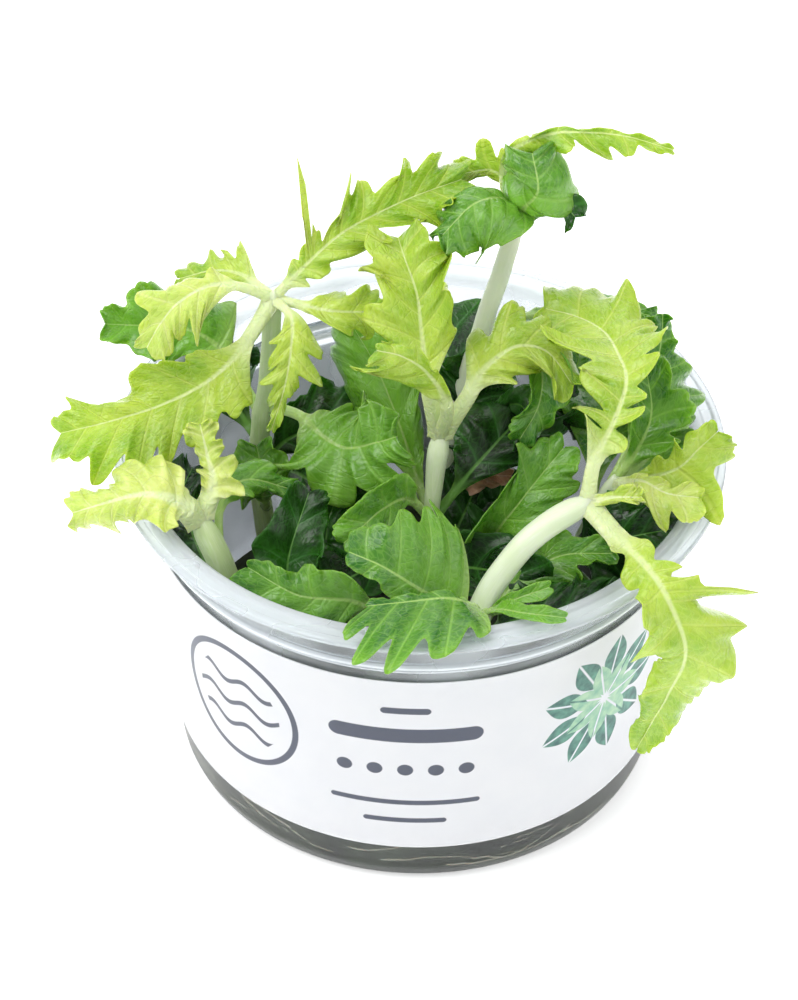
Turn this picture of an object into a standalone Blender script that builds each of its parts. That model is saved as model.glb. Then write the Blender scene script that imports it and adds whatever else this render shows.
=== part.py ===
"""Water wisteria growing in an open clear plastic cup, with its gel, stems and lobed leaves.

Lengths below are in millimetres. The origin is the middle of the cup's underside, +Z is up,
and the front, where the longest leaf hangs over the lip, is -Y.
"""

import math

import bmesh
import bpy
from mathutils import Vector

MM = 0.001
GAP = 0.3

CUP_STEPS = 48
CUP_HEIGHT = 61.6
LIP_RADIUS = 50.0
LIP_INNER = 45.6
LIP_THICK = 1.2
LIP_ROUND = 0.4
GROOVE_DEEP = 0.4
BEAD_WIDE = 1.3
WALL_AT_BASE = 40.9
WALL_SLOPE = 0.06
WALL = 0.8
FLOOR = 1.0
FOOT_RADIUS = 38.0
LEDGE_Z = 51.4
LEDGE_STEP = 0.8

LABEL_BOTTOM = 9.2
LABEL_TOP = 49.0
LABEL_THICK = 0.2

GEL_TOP = 12.0
SOCKET_GAP = 0.5

BLADE_THICK = 0.8
TIP_HALF = 0.45
STEM_CLEAR = 1.2
STEM_POINTS = 10
RIB_POINTS = 41
CLOSEST_ROWS = 0.03
LAST_ROW = 0.99
DEEP_CUT = 0.6

COLOURS = {
    "cup": (0.80, 0.86, 0.88, 0.25),
    "label": (0.90, 0.92, 0.96, 0.6),
    "gel": (0.20, 0.24, 0.19, 0.2),
    "stem": (0.66, 0.76, 0.42, 0.4),
    "pale": (0.76, 0.84, 0.32, 0.35),
    "young": (0.50, 0.68, 0.06, 0.35),
    "mid": (0.20, 0.42, 0.03, 0.35),
    "dark": (0.04, 0.16, 0.01, 0.3),
    "faded": (0.55, 0.32, 0.22, 0.4),
}

# Each stem: its radius at the foot and at the top, and its points from the gel up.
STEMS = {
    "stem_front_right": (2.5, 1.9, [
        (5, -24, 5), (7, -29, 30), (9, -33, 52), (13, -31, 61), (19, -28, 67), (26, -24, 69)]),
    "stem_centre": (1.1, 1.9, [(0, -4, 5), (2, -6, 35), (2, -7, 53), (3, -5, 66)]),
    "stem_tall_back": (1.8, 1.6, [(4, 7, 5), (5, 9, 50), (8, 12, 73), (13, 16, 84), (15, 19, 91)]),
    "stem_left_back": (1.8, 1.5, [(-22, 6, 5), (-27, 8, 45), (-25, 8, 69), (-24, 8, 84)]),
    "stem_left_low": (2.3, 2.0, [(-20, -15, 5), (-28, -21, 38), (-32, -22, 54), (-35, -20, 61)]),
    "stem_right": (1.7, 1.4, [(17, -4, 5), (25, -7, 40), (31, -9, 60)]),
    "stem_front_left": (1.7, 1.4, [(-6, -20, 5), (-7, -26, 36), (-4, -31, 51)]),
}

# Each leaf: the stem it grows on, its colour, its stalk as a share of the midrib and a half width,
# how deep the cuts between its lobes go and how far the lobes sweep out (degrees), both at the base
# and at the tip, how much the blade folds up at the midrib and curls back to its margins (degrees),
# the way its upper face looks at the base and at the tip, the points of its midrib from the stem's
# axis on, and the lobes on either side as (place along the midrib, length).
LEAVES = {
    "leaf_right_arching": dict(
        stem="stem_front_right", tone="young", stalk=(0.1, 1.2), cut=(0.85, 0.3), sweep=(78, 60),
        fold=12, curl=25, face=[(0, -1, 0.4), (0, -0.3, 1)],
        rib=[(26, -24, 69), (27, -21, 75), (30, -17, 80), (32, -11, 83), (31, -4, 83), (29, 3, 82),
             (25, 8, 81), (20, 10, 81)],
        left=[(0.2, 5), (0.31, 9), (0.43, 11), (0.58, 11), (0.75, 7), (0.88, 6)],
        right=[(0.22, 5), (0.34, 3), (0.45, 2), (0.55, 8), (0.65, 7), (0.76, 7), (0.88, 6)]),
    "leaf_right_hanging": dict(
        stem="stem_front_right", tone="young", stalk=(0.08, 1.2), cut=(0.7, 0.3), sweep=(92, 40),
        fold=10, curl=30, face=[(0.2, -0.4, 1), (0.1, -1, 0.2)],
        rib=[(26, -24, 69), (30, -29, 67), (35, -37, 67), (38, -42, 65), (41, -45, 57), (39, -44, 47),
             (37, -43, 40), (35, -42, 33)],
        left=[(0.2, 3), (0.3, 5), (0.38, 15), (0.47, 9), (0.57, 4), (0.7, 2), (0.9, 2)],
        right=[(0.16, 3), (0.3, 6), (0.4, 14), (0.54, 10), (0.72, 8), (0.92, 4)]),
    "leaf_right_bud": dict(
        stem="stem_front_right", tone="pale", stalk=(0.05, 1.2), cut=(0.2, 0.2), sweep=(40, 40),
        fold=20, curl=0, face=[(0, -0.6, 1)],
        rib=[(26, -24, 69), (30, -25, 71), (34, -26, 72)],
        left=[(0.7, 2.4), (0.86, 2)],
        right=[(0.7, 2.4), (0.86, 2)]),
    "leaf_right_inner": dict(
        stem="stem_right", tone="pale", stalk=(0.15, 0.9), cut=(0.6, 0.5), sweep=(66, 44),
        fold=5, curl=20, face=[(0, -0.7, 0.8)],
        rib=[(31, -9, 60), (35, -15, 66), (39, -18, 66), (44, -19, 66)],
        left=[(0.4, 2), (0.62, 2), (0.82, 3)],
        right=[(0.38, 5), (0.6, 7), (0.82, 5)]),
    "leaf_right_edge": dict(
        stem="stem_right", tone="young", stalk=(0.2, 0.9), cut=(0.5, 0.5), sweep=(80, 50),
        fold=10, curl=10, face=[(0.2, -0.8, 0.6)],
        rib=[(31, -9, 60), (36, -12, 64), (41, -13, 67), (44, -12, 70), (47, -10, 72)],
        left=[(0.42, 3), (0.58, 6), (0.82, 4)],
        right=[(0.42, 4), (0.6, 10), (0.84, 5)]),
    "leaf_back_right_dark": dict(
        stem="stem_right", tone="dark", stalk=(0.2, 0.9), cut=(0.3, 0.4), sweep=(70, 50),
        fold=10, curl=30, face=[(0.2, -0.6, 0.8), (0.3, -0.9, 0.4)],
        rib=[(31, -9, 60), (33, -6, 63), (36, -1, 67), (38, 5, 71), (39, 9, 76), (39, 10, 80)],
        left=[(0.45, 6), (0.64, 7), (0.84, 4)],
        right=[(0.38, 7), (0.5, 11), (0.66, 5), (0.84, 2)]),
    "leaf_back_right_lobed": dict(
        stem="stem_right", tone="mid", stalk=(0.15, 0.9), cut=(0.5, 0.5), sweep=(64, 40),
        fold=10, curl=30, face=[(0.1, -0.9, 0.5)],
        rib=[(31, -9, 60), (35, -7, 66), (37, -4, 71), (36, 0, 77)],
        left=[(0.4, 4), (0.65, 4), (0.85, 3)],
        right=[(0.38, 6), (0.6, 7), (0.82, 5)]),
    "leaf_right_olive": dict(
        stem="stem_right", tone="mid", stalk=(0.2, 0.9), cut=(0.3, 0.3), sweep=(60, 40),
        fold=10, curl=20, face=[(0, -0.7, 0.8)],
        rib=[(31, -9, 60), (36, -4, 60), (40, 1, 62), (43, 6, 65)],
        left=[(0.4, 5), (0.65, 6), (0.85, 4)],
        right=[(0.4, 4), (0.65, 5), (0.85, 4)]),
    "leaf_centre_right_broad": dict(
        stem="stem_centre", tone="mid", stalk=(0.25, 0.9), cut=(0.15, 0.25), sweep=(56, 36),
        fold=14, curl=25, face=[(0, -0.7, 0.7)],
        rib=[(2, -6, 38), (9, -10, 45), (14, -11, 54), (19, -9, 61), (23, -6, 65)],
        left=[(0.4, 6), (0.58, 8), (0.75, 7), (0.9, 4)],
        right=[(0.4, 6), (0.58, 8), (0.75, 7), (0.9, 4)]),
    "leaf_centre_right_mid": dict(
        stem="stem_tall_back", tone="mid", stalk=(0.4, 0.9), cut=(0.3, 0.3), sweep=(60, 40),
        fold=10, curl=30, face=[(0, -0.7, 0.7), (0.3, -1, 0.4)],
        rib=[(6, 10, 58), (10, 9, 67), (15, 6, 76), (19, 2, 76), (19, -2, 71), (16, -5, 66)],
        left=[(0.52, 5), (0.68, 6), (0.86, 4)],
        right=[(0.52, 5), (0.68, 6), (0.86, 4)]),
    "leaf_inner_glossy": dict(
        stem="stem_tall_back", tone="dark", stalk=(0.3, 0.9), cut=(0.1, 0.1), sweep=(50, 36),
        fold=25, curl=60, face=[(0, -0.9, 0.4)],
        rib=[(5, 9, 50), (10, 7, 60), (15, 4, 66), (17, 0, 67), (16, -3, 62)],
        left=[(0.5, 3), (0.7, 4), (0.88, 2)],
        right=[(0.5, 3), (0.7, 4), (0.88, 2)]),
    "leaf_inner_faded": dict(
        stem="stem_tall_back", tone="faded", stalk=(0.3, 0.9), cut=(0.1, 0.1), sweep=(60, 40),
        fold=20, curl=40, face=[(0, -0.8, 0.6)],
        rib=[(5, 8, 42), (8, 4, 48), (11, 2, 52), (15, 1, 53)],
        left=[(0.5, 2), (0.7, 3), (0.88, 2)],
        right=[(0.5, 2), (0.7, 3), (0.88, 2)]),
    "leaf_back_right_top": dict(
        stem="stem_tall_back", tone="dark", stalk=(0.3, 0.9), cut=(0.4, 0.4), sweep=(60, 40),
        fold=5, curl=30, face=[(0, -0.4, 1)],
        rib=[(8, 12, 73), (12, 14, 74), (17, 17, 74), (24, 21, 73), (31, 22, 73), (38, 20, 72)],
        left=[(0.45, 3), (0.6, 4), (0.75, 3), (0.9, 3)],
        right=[(0.45, 5), (0.62, 6), (0.78, 5), (0.9, 3)]),
    "leaf_centre_upright": dict(
        stem="stem_centre", tone="young", stalk=(0.28, 1.6), cut=(0.6, 0.35), sweep=(64, 42),
        fold=12, curl=25, face=[(0, -1, 0.2), (0, -0.8, 0.8)],
        rib=[(3, -5, 66), (1, -5, 77), (0, -2, 84), (-1, 2, 90), (-3, 6, 94), (-4, 10, 95)],
        left=[(0.4, 7), (0.5, 9), (0.62, 11), (0.76, 8), (0.9, 6)],
        right=[(0.4, 6), (0.56, 12), (0.68, 8), (0.79, 7), (0.9, 5)]),
    "leaf_centre_to_right": dict(
        stem="stem_centre", tone="young", stalk=(0.3, 1.6), cut=(0.5, 0.4), sweep=(64, 42),
        fold=8, curl=30, face=[(0, -1, 0.3), (0, -0.4, 1)],
        rib=[(3, -5, 66), (7, -4, 73), (10, -2, 78), (15, 0, 81), (20, 0, 80), (24, -3, 76)],
        left=[(0.42, 6), (0.55, 8), (0.68, 7), (0.84, 5)],
        right=[(0.4, 6), (0.52, 8), (0.68, 7), (0.84, 6)]),
    "leaf_centre_small": dict(
        stem="stem_centre", tone="young", stalk=(0.35, 1.2), cut=(0.4, 0.4), sweep=(70, 50),
        fold=5, curl=20, face=[(0, -1, 0.2), (0, -1, 0.8)],
        rib=[(3, -5, 66), (4, -9, 76), (1, -11, 84), (-3, -13, 89), (-7, -14, 91)],
        left=[(0.5, 6), (0.65, 9), (0.8, 8), (0.92, 4)],
        right=[(0.55, 2), (0.75, 3), (0.9, 2)]),
    "leaf_top_long": dict(
        stem="stem_tall_back", tone="young", stalk=(0.2, 0.9), cut=(0.8, 0.6), sweep=(95, 30),
        fold=5, curl=20, face=[(0, -1, 0), (0, -0.6, 0.8)],
        rib=[(15, 19, 91), (13, 20, 99), (14, 20, 105), (20, 19, 109), (26, 18, 110), (32, 17, 110),
             (39, 15, 109)],
        left=[(0.38, 1), (0.55, 1), (0.75, 1), (0.92, 1)],
        right=[(0.34, 3), (0.46, 7), (0.56, 3), (0.65, 6), (0.8, 3), (0.92, 2)]),
    "leaf_top_left": dict(
        stem="stem_tall_back", tone="young", stalk=(0.3, 0.9), cut=(0.5, 0.5), sweep=(60, 40),
        fold=5, curl=20, face=[(0, -0.9, 0.5)],
        rib=[(15, 19, 91), (14, 22, 96), (11, 23, 99), (6, 22, 99)],
        left=[(0.5, 4), (0.68, 5), (0.86, 3)],
        right=[(0.5, 4), (0.68, 5), (0.86, 3)]),
    "leaf_top_dark": dict(
        stem="stem_tall_back", tone="dark", stalk=(0.2, 0.9), cut=(0.4, 0.6), sweep=(90, 44),
        fold=10, curl=30, face=[(0, -0.8, 0.7)],
        rib=[(15, 19, 91), (11, 14, 99), (7, 11, 99), (2, 9, 96)],
        left=[(0.35, 6), (0.6, 7), (0.82, 5)],
        right=[(0.35, 6), (0.6, 6), (0.82, 4)]),
    "leaf_top_cupped": dict(
        stem="stem_tall_back", tone="mid", stalk=(0.3, 0.9), cut=(0.1, 0.15), sweep=(60, 40),
        fold=30, curl=-30, face=[(0, -1, 0.3)],
        rib=[(15, 19, 91), (15, 15, 98), (16, 13, 103), (16, 13, 108)],
        left=[(0.5, 4), (0.7, 5), (0.88, 3)],
        right=[(0.5, 5), (0.7, 6), (0.88, 4)]),
    "leaf_top_small": dict(
        stem="stem_tall_back", tone="dark", stalk=(0.4, 0.9), cut=(0.6, 0.6), sweep=(64, 44),
        fold=10, curl=40, face=[(0, -0.7, 0.8)],
        rib=[(15, 19, 91), (19, 16, 96), (22, 14, 99), (24, 12, 98)],
        left=[(0.6, 3), (0.85, 3)],
        right=[(0.6, 4), (0.85, 4)]),
    "leaf_left_big": dict(
        stem="stem_left_back", tone="young", stalk=(0.16, 1.4), cut=(0.35, 0.35), sweep=(62, 46),
        fold=10, curl=25, face=[(0, -0.6, 1)],
        rib=[(-24, 8, 84), (-27, 5, 80), (-30, 3, 76), (-35, 1, 72), (-42, -1, 69), (-50, -4, 68),
             (-58, -6, 67)],
        left=[(0.28, 7), (0.4, 10), (0.52, 10), (0.64, 12), (0.76, 12), (0.9, 8)],
        right=[(0.3, 5), (0.45, 9), (0.64, 8), (0.82, 7), (0.93, 4)]),
    "leaf_left_arching": dict(
        stem="stem_left_back", tone="pale", stalk=(0.25, 0.9), cut=(0.7, 0.4), sweep=(66, 46),
        fold=5, curl=20, face=[(0, -0.7, 0.8)],
        rib=[(-24, 8, 84), (-29, 7, 87), (-34, 6, 88), (-39, 4, 86), (-42, 2, 83), (-44, 0, 80)],
        left=[(0.36, 9), (0.5, 8), (0.64, 6), (0.8, 5)],
        right=[(0.35, 3), (0.52, 6), (0.67, 6), (0.82, 4)]),
    "leaf_left_hanging": dict(
        stem="stem_left_back", tone="young", stalk=(0.14, 0.9), cut=(0.6, 0.5), sweep=(50, 30),
        fold=10, curl=20, face=[(0, -0.7, 0.8), (0, -1, 0.3)],
        rib=[(-24, 8, 84), (-21, 3, 84), (-21, -1, 80), (-22, -4, 75), (-24, -7, 69)],
        left=[(0.3, 6), (0.45, 7), (0.62, 3), (0.8, 2)],
        right=[(0.3, 4), (0.42, 5), (0.55, 5), (0.68, 5), (0.84, 2)]),
    "leaf_left_to_centre_long": dict(
        stem="stem_left_back", tone="young", stalk=(0.06, 0.9), cut=(0.85, 0.25), sweep=(54, 36),
        fold=8, curl=15, face=[(0, -0.9, 0.6)],
        rib=[(-24, 8, 84), (-18, 9, 91), (-13, 11, 95), (-7, 14, 97), (-1, 16, 99), (6, 19, 100)],
        left=[(0.25, 14), (0.34, 3), (0.42, 10), (0.6, 7), (0.76, 8), (0.87, 7)],
        right=[(0.12, 3), (0.32, 10), (0.57, 8), (0.71, 8), (0.85, 7)]),
    "leaf_left_to_centre_short": dict(
        stem="stem_left_back", tone="young", stalk=(0.15, 0.9), cut=(0.4, 0.4), sweep=(60, 40),
        fold=8, curl=25, face=[(0, -0.6, 0.9)],
        rib=[(-24, 8, 84), (-15, 5, 84), (-9, 6, 83), (-3, 9, 80)],
        left=[(0.35, 4), (0.58, 5), (0.8, 4)],
        right=[(0.35, 5), (0.58, 6), (0.8, 4)]),
    "leaf_left_back_broad": dict(
        stem="stem_left_back", tone="mid", stalk=(0.35, 0.9), cut=(0.3, 0.3), sweep=(100, 50),
        fold=8, curl=25, face=[(0, -0.7, 0.8)],
        rib=[(-26, 8, 59), (-30, 13, 63), (-34, 16, 68), (-40, 17, 71), (-47, 16, 72), (-52, 15, 73)],
        left=[(0.45, 4), (0.6, 7), (0.75, 6), (0.9, 4)],
        right=[(0.42, 8), (0.58, 8), (0.74, 7), (0.9, 4)]),
    "leaf_left_back_top": dict(
        stem="stem_left_back", tone="young", stalk=(0.2, 0.9), cut=(0.4, 0.4), sweep=(60, 40),
        fold=8, curl=25, face=[(0, -0.7, 0.8)],
        rib=[(-24, 8, 84), (-29, 14, 84), (-34, 18, 82), (-40, 21, 78)],
        left=[(0.4, 3), (0.62, 4), (0.84, 3)],
        right=[(0.3, 6), (0.46, 4), (0.64, 4), (0.84, 3)]),
    "leaf_centre_left_frilly": dict(
        stem="stem_left_back", tone="mid", stalk=(0.28, 0.9), cut=(0.4, 0.4), sweep=(110, 60),
        fold=5, curl=50, face=[(0, -0.7, 0.8)],
        rib=[(-26, 8, 62), (-20, 4, 63), (-16, 0, 62), (-12, -3, 62), (-7, -5, 65), (-4, -6, 67)],
        left=[(0.4, 8), (0.55, 10), (0.7, 9), (0.86, 6)],
        right=[(0.38, 8), (0.5, 9), (0.62, 9), (0.74, 9), (0.88, 6)]),
    "leaf_centre_left_tall": dict(
        stem="stem_centre", tone="mid", stalk=(0.15, 0.9), cut=(0.1, 0.15), sweep=(50, 36),
        fold=15, curl=30, face=[(0, -0.8, 0.6)],
        rib=[(2, -7, 48), (-2, 4, 56), (-7, 13, 65), (-12, 18, 72)],
        left=[(0.3, 5), (0.5, 8), (0.7, 8), (0.88, 4)],
        right=[(0.3, 4), (0.5, 6), (0.7, 6), (0.88, 4)]),
    "leaf_left_low_pale": dict(
        stem="stem_left_low", tone="pale", stalk=(0.15, 1.2), cut=(0.3, 0.3), sweep=(76, 50),
        fold=5, curl=40, face=[(0, -0.6, 0.9)],
        rib=[(-35, -20, 61), (-39, -22, 67), (-44, -22, 68), (-50, -22, 66), (-55, -22, 64)],
        left=[(0.3, 4), (0.5, 4), (0.7, 4), (0.88, 3)],
        right=[(0.28, 6), (0.48, 6), (0.66, 4), (0.86, 3)]),
    "leaf_left_low_frilly": dict(
        stem="stem_left_low", tone="pale", stalk=(0.2, 0.9), cut=(0.5, 0.5), sweep=(70, 50),
        fold=5, curl=40, face=[(0, -0.9, 0.4)],
        rib=[(-35, -20, 61), (-33, -17, 66), (-34, -14, 70), (-35, -12, 74)],
        left=[(0.45, 3), (0.66, 2), (0.88, 3)],
        right=[(0.35, 5), (0.52, 4), (0.7, 3), (0.88, 3)]),
    "leaf_front_broad": dict(
        stem="stem_front_right", tone="mid", stalk=(0.15, 1.2), cut=(0.25, 0.2), sweep=(84, 60),
        fold=8, curl=20, face=[(0, -0.8, 0.6)],
        rib=[(9, -33, 53), (3, -36, 59), (-1, -37, 63), (-6, -37, 67), (-11, -35, 68)],
        left=[(0.35, 4), (0.6, 4), (0.82, 3)],
        right=[(0.3, 15), (0.48, 14), (0.66, 6), (0.84, 4)]),
    "leaf_front_over_rim": dict(
        stem="stem_front_right", tone="mid", stalk=(0.3, 0.9), cut=(0.5, 0.5), sweep=(110, 60),
        fold=0, curl=4, face=[(0, 0, 1)],
        rib=[(9, -33, 53), (8, -39, 61), (4, -42, 65), (-2, -44, 66), (-8, -45, 66)],
        left=[(0.4, 7), (0.51, 13), (0.61, 16), (0.71, 16), (0.81, 14), (0.91, 9)],
        right=[(0.4, 2), (0.6, 2), (0.8, 2)]),
    "leaf_front_finger_upper": dict(
        stem="stem_front_right", tone="mid", stalk=(0.2, 0.9), cut=(0.1, 0.1), sweep=(40, 30),
        fold=15, curl=0, face=[(0, -0.7, 0.8)],
        rib=[(9, -33, 53), (14, -36, 59), (20, -36, 62)],
        left=[(0.5, 2), (0.8, 2)],
        right=[(0.5, 2), (0.8, 2)]),
    "leaf_front_finger_lower": dict(
        stem="stem_front_right", tone="mid", stalk=(0.2, 0.9), cut=(0.1, 0.1), sweep=(40, 30),
        fold=10, curl=0, face=[(0, -0.5, 1)],
        rib=[(9, -33, 53), (12, -39, 60), (16, -43, 63), (22, -45, 64)],
        left=[(0.5, 2), (0.8, 2)],
        right=[(0.5, 2), (0.8, 2)]),
    "leaf_front_left_rim": dict(
        stem="stem_front_left", tone="mid", stalk=(0.15, 0.9), cut=(0.2, 0.3), sweep=(70, 40),
        fold=8, curl=30, face=[(0, -0.9, 0.4)],
        rib=[(-4, -31, 51), (-11, -33, 56), (-19, -33, 57), (-27, -30, 60)],
        left=[(0.32, 6), (0.55, 8), (0.78, 6)],
        right=[(0.32, 6), (0.55, 5), (0.78, 3)]),
    "leaf_inner_left_dark": dict(
        stem="stem_left_low", tone="dark", stalk=(0.15, 0.9), cut=(0.1, 0.15), sweep=(60, 40),
        fold=10, curl=20, face=[(0, -0.7, 0.7)],
        rib=[(-27, -20, 36), (-22, -22, 45), (-21, -19, 53), (-18, -12, 60)],
        left=[(0.35, 5), (0.6, 6), (0.82, 5)],
        right=[(0.35, 6), (0.6, 7), (0.82, 5)]),
    "leaf_inner_front_right": dict(
        stem="stem_front_right", tone="mid", stalk=(0.2, 0.9), cut=(0.2, 0.3), sweep=(60, 40),
        fold=8, curl=30, face=[(0, -0.5, 0.9)],
        rib=[(8, -31, 44), (14, -23, 49), (22, -19, 53), (31, -19, 54)],
        left=[(0.4, 4), (0.62, 5), (0.82, 4)],
        right=[(0.4, 5), (0.62, 7), (0.82, 4)]),
    "leaf_inner_right_dark": dict(
        stem="stem_right", tone="dark", stalk=(0.3, 0.9), cut=(0.1, 0.15), sweep=(60, 40),
        fold=8, curl=20, face=[(0, -0.8, 0.6)],
        rib=[(25, -7, 40), (28, -15, 43), (28, -23, 44), (24, -31, 48)],
        left=[(0.5, 5), (0.7, 6), (0.86, 4)],
        right=[(0.5, 5), (0.7, 6), (0.86, 4)]),
    "leaf_inner_round": dict(
        stem="stem_tall_back", tone="dark", stalk=(0.3, 0.9), cut=(0.03, 0.03), sweep=(60, 40),
        fold=5, curl=20, face=[(0, -0.8, 0.6)],
        rib=[(5, 9, 34), (11, 3, 40), (13, 3, 45), (14, 5, 50)],
        left=[(0.45, 4), (0.65, 5), (0.85, 4)],
        right=[(0.45, 4), (0.65, 5), (0.85, 4)]),
    "leaf_inner_left_round": dict(
        stem="stem_left_back", tone="mid", stalk=(0.3, 0.9), cut=(0.03, 0.03), sweep=(66, 44),
        fold=5, curl=20, face=[(0, -0.8, 0.6)],
        rib=[(-26, 7, 40), (-26, 2, 47), (-26, 1, 52), (-27, 3, 57)],
        left=[(0.46, 5), (0.68, 6), (0.88, 4)],
        right=[(0.46, 5), (0.68, 6), (0.88, 4)]),
    "leaf_inner_left_wavy": dict(
        stem="stem_left_low", tone="mid", stalk=(0.3, 0.9), cut=(0.1, 0.2), sweep=(56, 36),
        fold=5, curl=20, face=[(0, -0.6, 0.8)],
        rib=[(-32, -22, 53), (-32, -15, 60), (-28, -10, 61), (-20, -8, 57)],
        left=[(0.48, 4), (0.66, 5), (0.85, 4)],
        right=[(0.48, 4), (0.66, 4), (0.85, 3)]),
    "leaf_inner_tall_dark": dict(
        stem="stem_front_left", tone="dark", stalk=(0.35, 0.9), cut=(0.1, 0.1), sweep=(50, 36),
        fold=10, curl=20, face=[(0, -0.8, 0.6)],
        rib=[(-7, -26, 34), (-12, -19, 41), (-15, -14, 46), (-15, -9, 51), (-13, -4, 54)],
        left=[(0.5, 4), (0.7, 5), (0.88, 3)],
        right=[(0.5, 4), (0.7, 5), (0.88, 3)]),
    "leaf_inner_small": dict(
        stem="stem_centre", tone="mid", stalk=(0.25, 0.9), cut=(0.1, 0.1), sweep=(60, 40),
        fold=8, curl=30, face=[(0, -0.8, 0.6)],
        rib=[(2, -7, 50), (-2, -12, 59), (-6, -18, 62), (-9, -22, 62), (-12, -25, 61)],
        left=[(0.4, 4), (0.6, 5), (0.82, 4)],
        right=[(0.4, 4), (0.6, 5), (0.82, 4)]),
    "leaf_inner_olive": dict(
        stem="stem_centre", tone="mid", stalk=(0.3, 0.9), cut=(0.1, 0.2), sweep=(56, 36),
        fold=8, curl=20, face=[(0, -0.8, 0.6)],
        rib=[(2, -7, 44), (-4, -8, 53), (-7, -6, 58), (-9, -3, 60)],
        left=[(0.5, 4), (0.68, 4), (0.86, 3)],
        right=[(0.5, 3), (0.68, 4), (0.86, 3)]),
    "leaf_inner_back": dict(
        stem="stem_tall_back", tone="dark", stalk=(0.2, 0.9), cut=(0.1, 0.1), sweep=(60, 40),
        fold=5, curl=20, face=[(0, -0.8, 0.6)],
        rib=[(4, 8, 26), (8, 0, 33), (11, -4, 40), (11, -3, 48)],
        left=[(0.4, 6), (0.62, 7), (0.84, 5)],
        right=[(0.4, 6), (0.62, 7), (0.84, 5)]),
}


def wall_radius(z):
    """Outer radius of the cup's wall below the ledge."""
    return WALL_AT_BASE + WALL_SLOPE * z


def mesh_object(name, bm):
    bmesh.ops.recalc_face_normals(bm, faces=bm.faces)
    mesh = bpy.data.meshes.new(name)
    bm.to_mesh(mesh)
    bm.free()
    obj = bpy.data.objects.new(name, mesh)
    bpy.context.collection.objects.link(obj)
    return obj


def round_shaded(obj):
    """Shade a round piece smooth, with its real edges kept sharp."""
    for face in obj.data.polygons:
        face.use_smooth = True
    obj.data.set_sharp_from_angle(angle=math.radians(35))


def material(obj, tone):
    """One Principled material for this object, in the colour of its kind."""
    red, green, blue, roughness = COLOURS[tone]
    made = bpy.data.materials.new(obj.name)
    made.use_nodes = True
    shader = made.node_tree.nodes["Principled BSDF"]
    shader.inputs["Base Color"].default_value = (red, green, blue, 1)
    shader.inputs["Roughness"].default_value = roughness
    shader.inputs["Metallic"].default_value = 0
    obj.data.materials.append(made)


def turned(name, profile):
    """A solid of revolution round Z from (radius, height) points that start and end on the axis."""
    bm = bmesh.new()
    verts = [bm.verts.new((r * MM, 0, z * MM)) for r, z in profile]
    edges = [bm.edges.new(pair) for pair in zip(verts, verts[1:])]
    bmesh.ops.spin(bm, geom=verts + edges, cent=(0, 0, 0), axis=(0, 0, 1), dvec=(0, 0, 0),
                   angle=2 * math.pi, steps=CUP_STEPS, use_merge=True, use_duplicate=False)
    bmesh.ops.remove_doubles(bm, verts=bm.verts, dist=1e-6)
    obj = mesh_object(name, bm)
    round_shaded(obj)
    return obj


def add_cup():
    """The cup: flat foot, conical wall, a ledge near the top and a flanged lip with a shallow groove."""
    ledge = wall_radius(LEDGE_Z)
    upper = ledge + LEDGE_STEP
    under_lip = CUP_HEIGHT - LIP_THICK
    groove = CUP_HEIGHT - GROOVE_DEEP
    outside = [
        (0, 0), (FOOT_RADIUS, 0), (wall_radius(0) - 0.6, 0.9), (wall_radius(3), 3),
        (ledge, LEDGE_Z), (upper, LEDGE_Z + 0.8), (LIP_INNER + 0.1, under_lip),
        (LIP_RADIUS - LIP_ROUND, under_lip), (LIP_RADIUS, CUP_HEIGHT - LIP_THICK / 2),
        (LIP_RADIUS - LIP_ROUND, CUP_HEIGHT), (LIP_RADIUS - BEAD_WIDE, CUP_HEIGHT),
    ]
    inside = [
        (LIP_RADIUS - BEAD_WIDE - 0.3, groove), (LIP_INNER + BEAD_WIDE, groove),
        (LIP_INNER + BEAD_WIDE - 0.4, CUP_HEIGHT), (LIP_INNER - 0.1, CUP_HEIGHT),
        (LIP_INNER - 0.7, CUP_HEIGHT - 0.8), (upper - WALL, LEDGE_Z + 1.0),
        (ledge - WALL, LEDGE_Z + 0.2), (wall_radius(3.6) - WALL, 3.6),
        (wall_radius(0) - 2.4, FLOOR + 0.6), (FOOT_RADIUS - 1, FLOOR), (0, FLOOR),
    ]
    material(turned("cup", outside + inside), "cup")


def add_label():
    """The wrap label: a thin band that follows the wall, open by one step at the back."""
    bm = bmesh.new()
    rings = []
    open_at = CUP_STEPS // 4
    corners = [(LABEL_BOTTOM, 0), (LABEL_BOTTOM, LABEL_THICK), (LABEL_TOP, LABEL_THICK), (LABEL_TOP, 0)]
    for k in range(CUP_STEPS):
        angle = 2 * math.pi * (open_at + 1 + k) / CUP_STEPS
        ring = []
        for z, out in corners:
            r = wall_radius(z) + GAP + out
            ring.append(bm.verts.new((r * math.cos(angle) * MM, r * math.sin(angle) * MM, z * MM)))
        rings.append(ring)
    for one, two in zip(rings, rings[1:]):
        for i in range(4):
            bm.faces.new((one[i], one[i - 1], two[i - 1], two[i]))
    bm.faces.new(rings[0])
    bm.faces.new(rings[-1])
    label = mesh_object("label", bm)
    round_shaded(label)
    material(label, "label")


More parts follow.
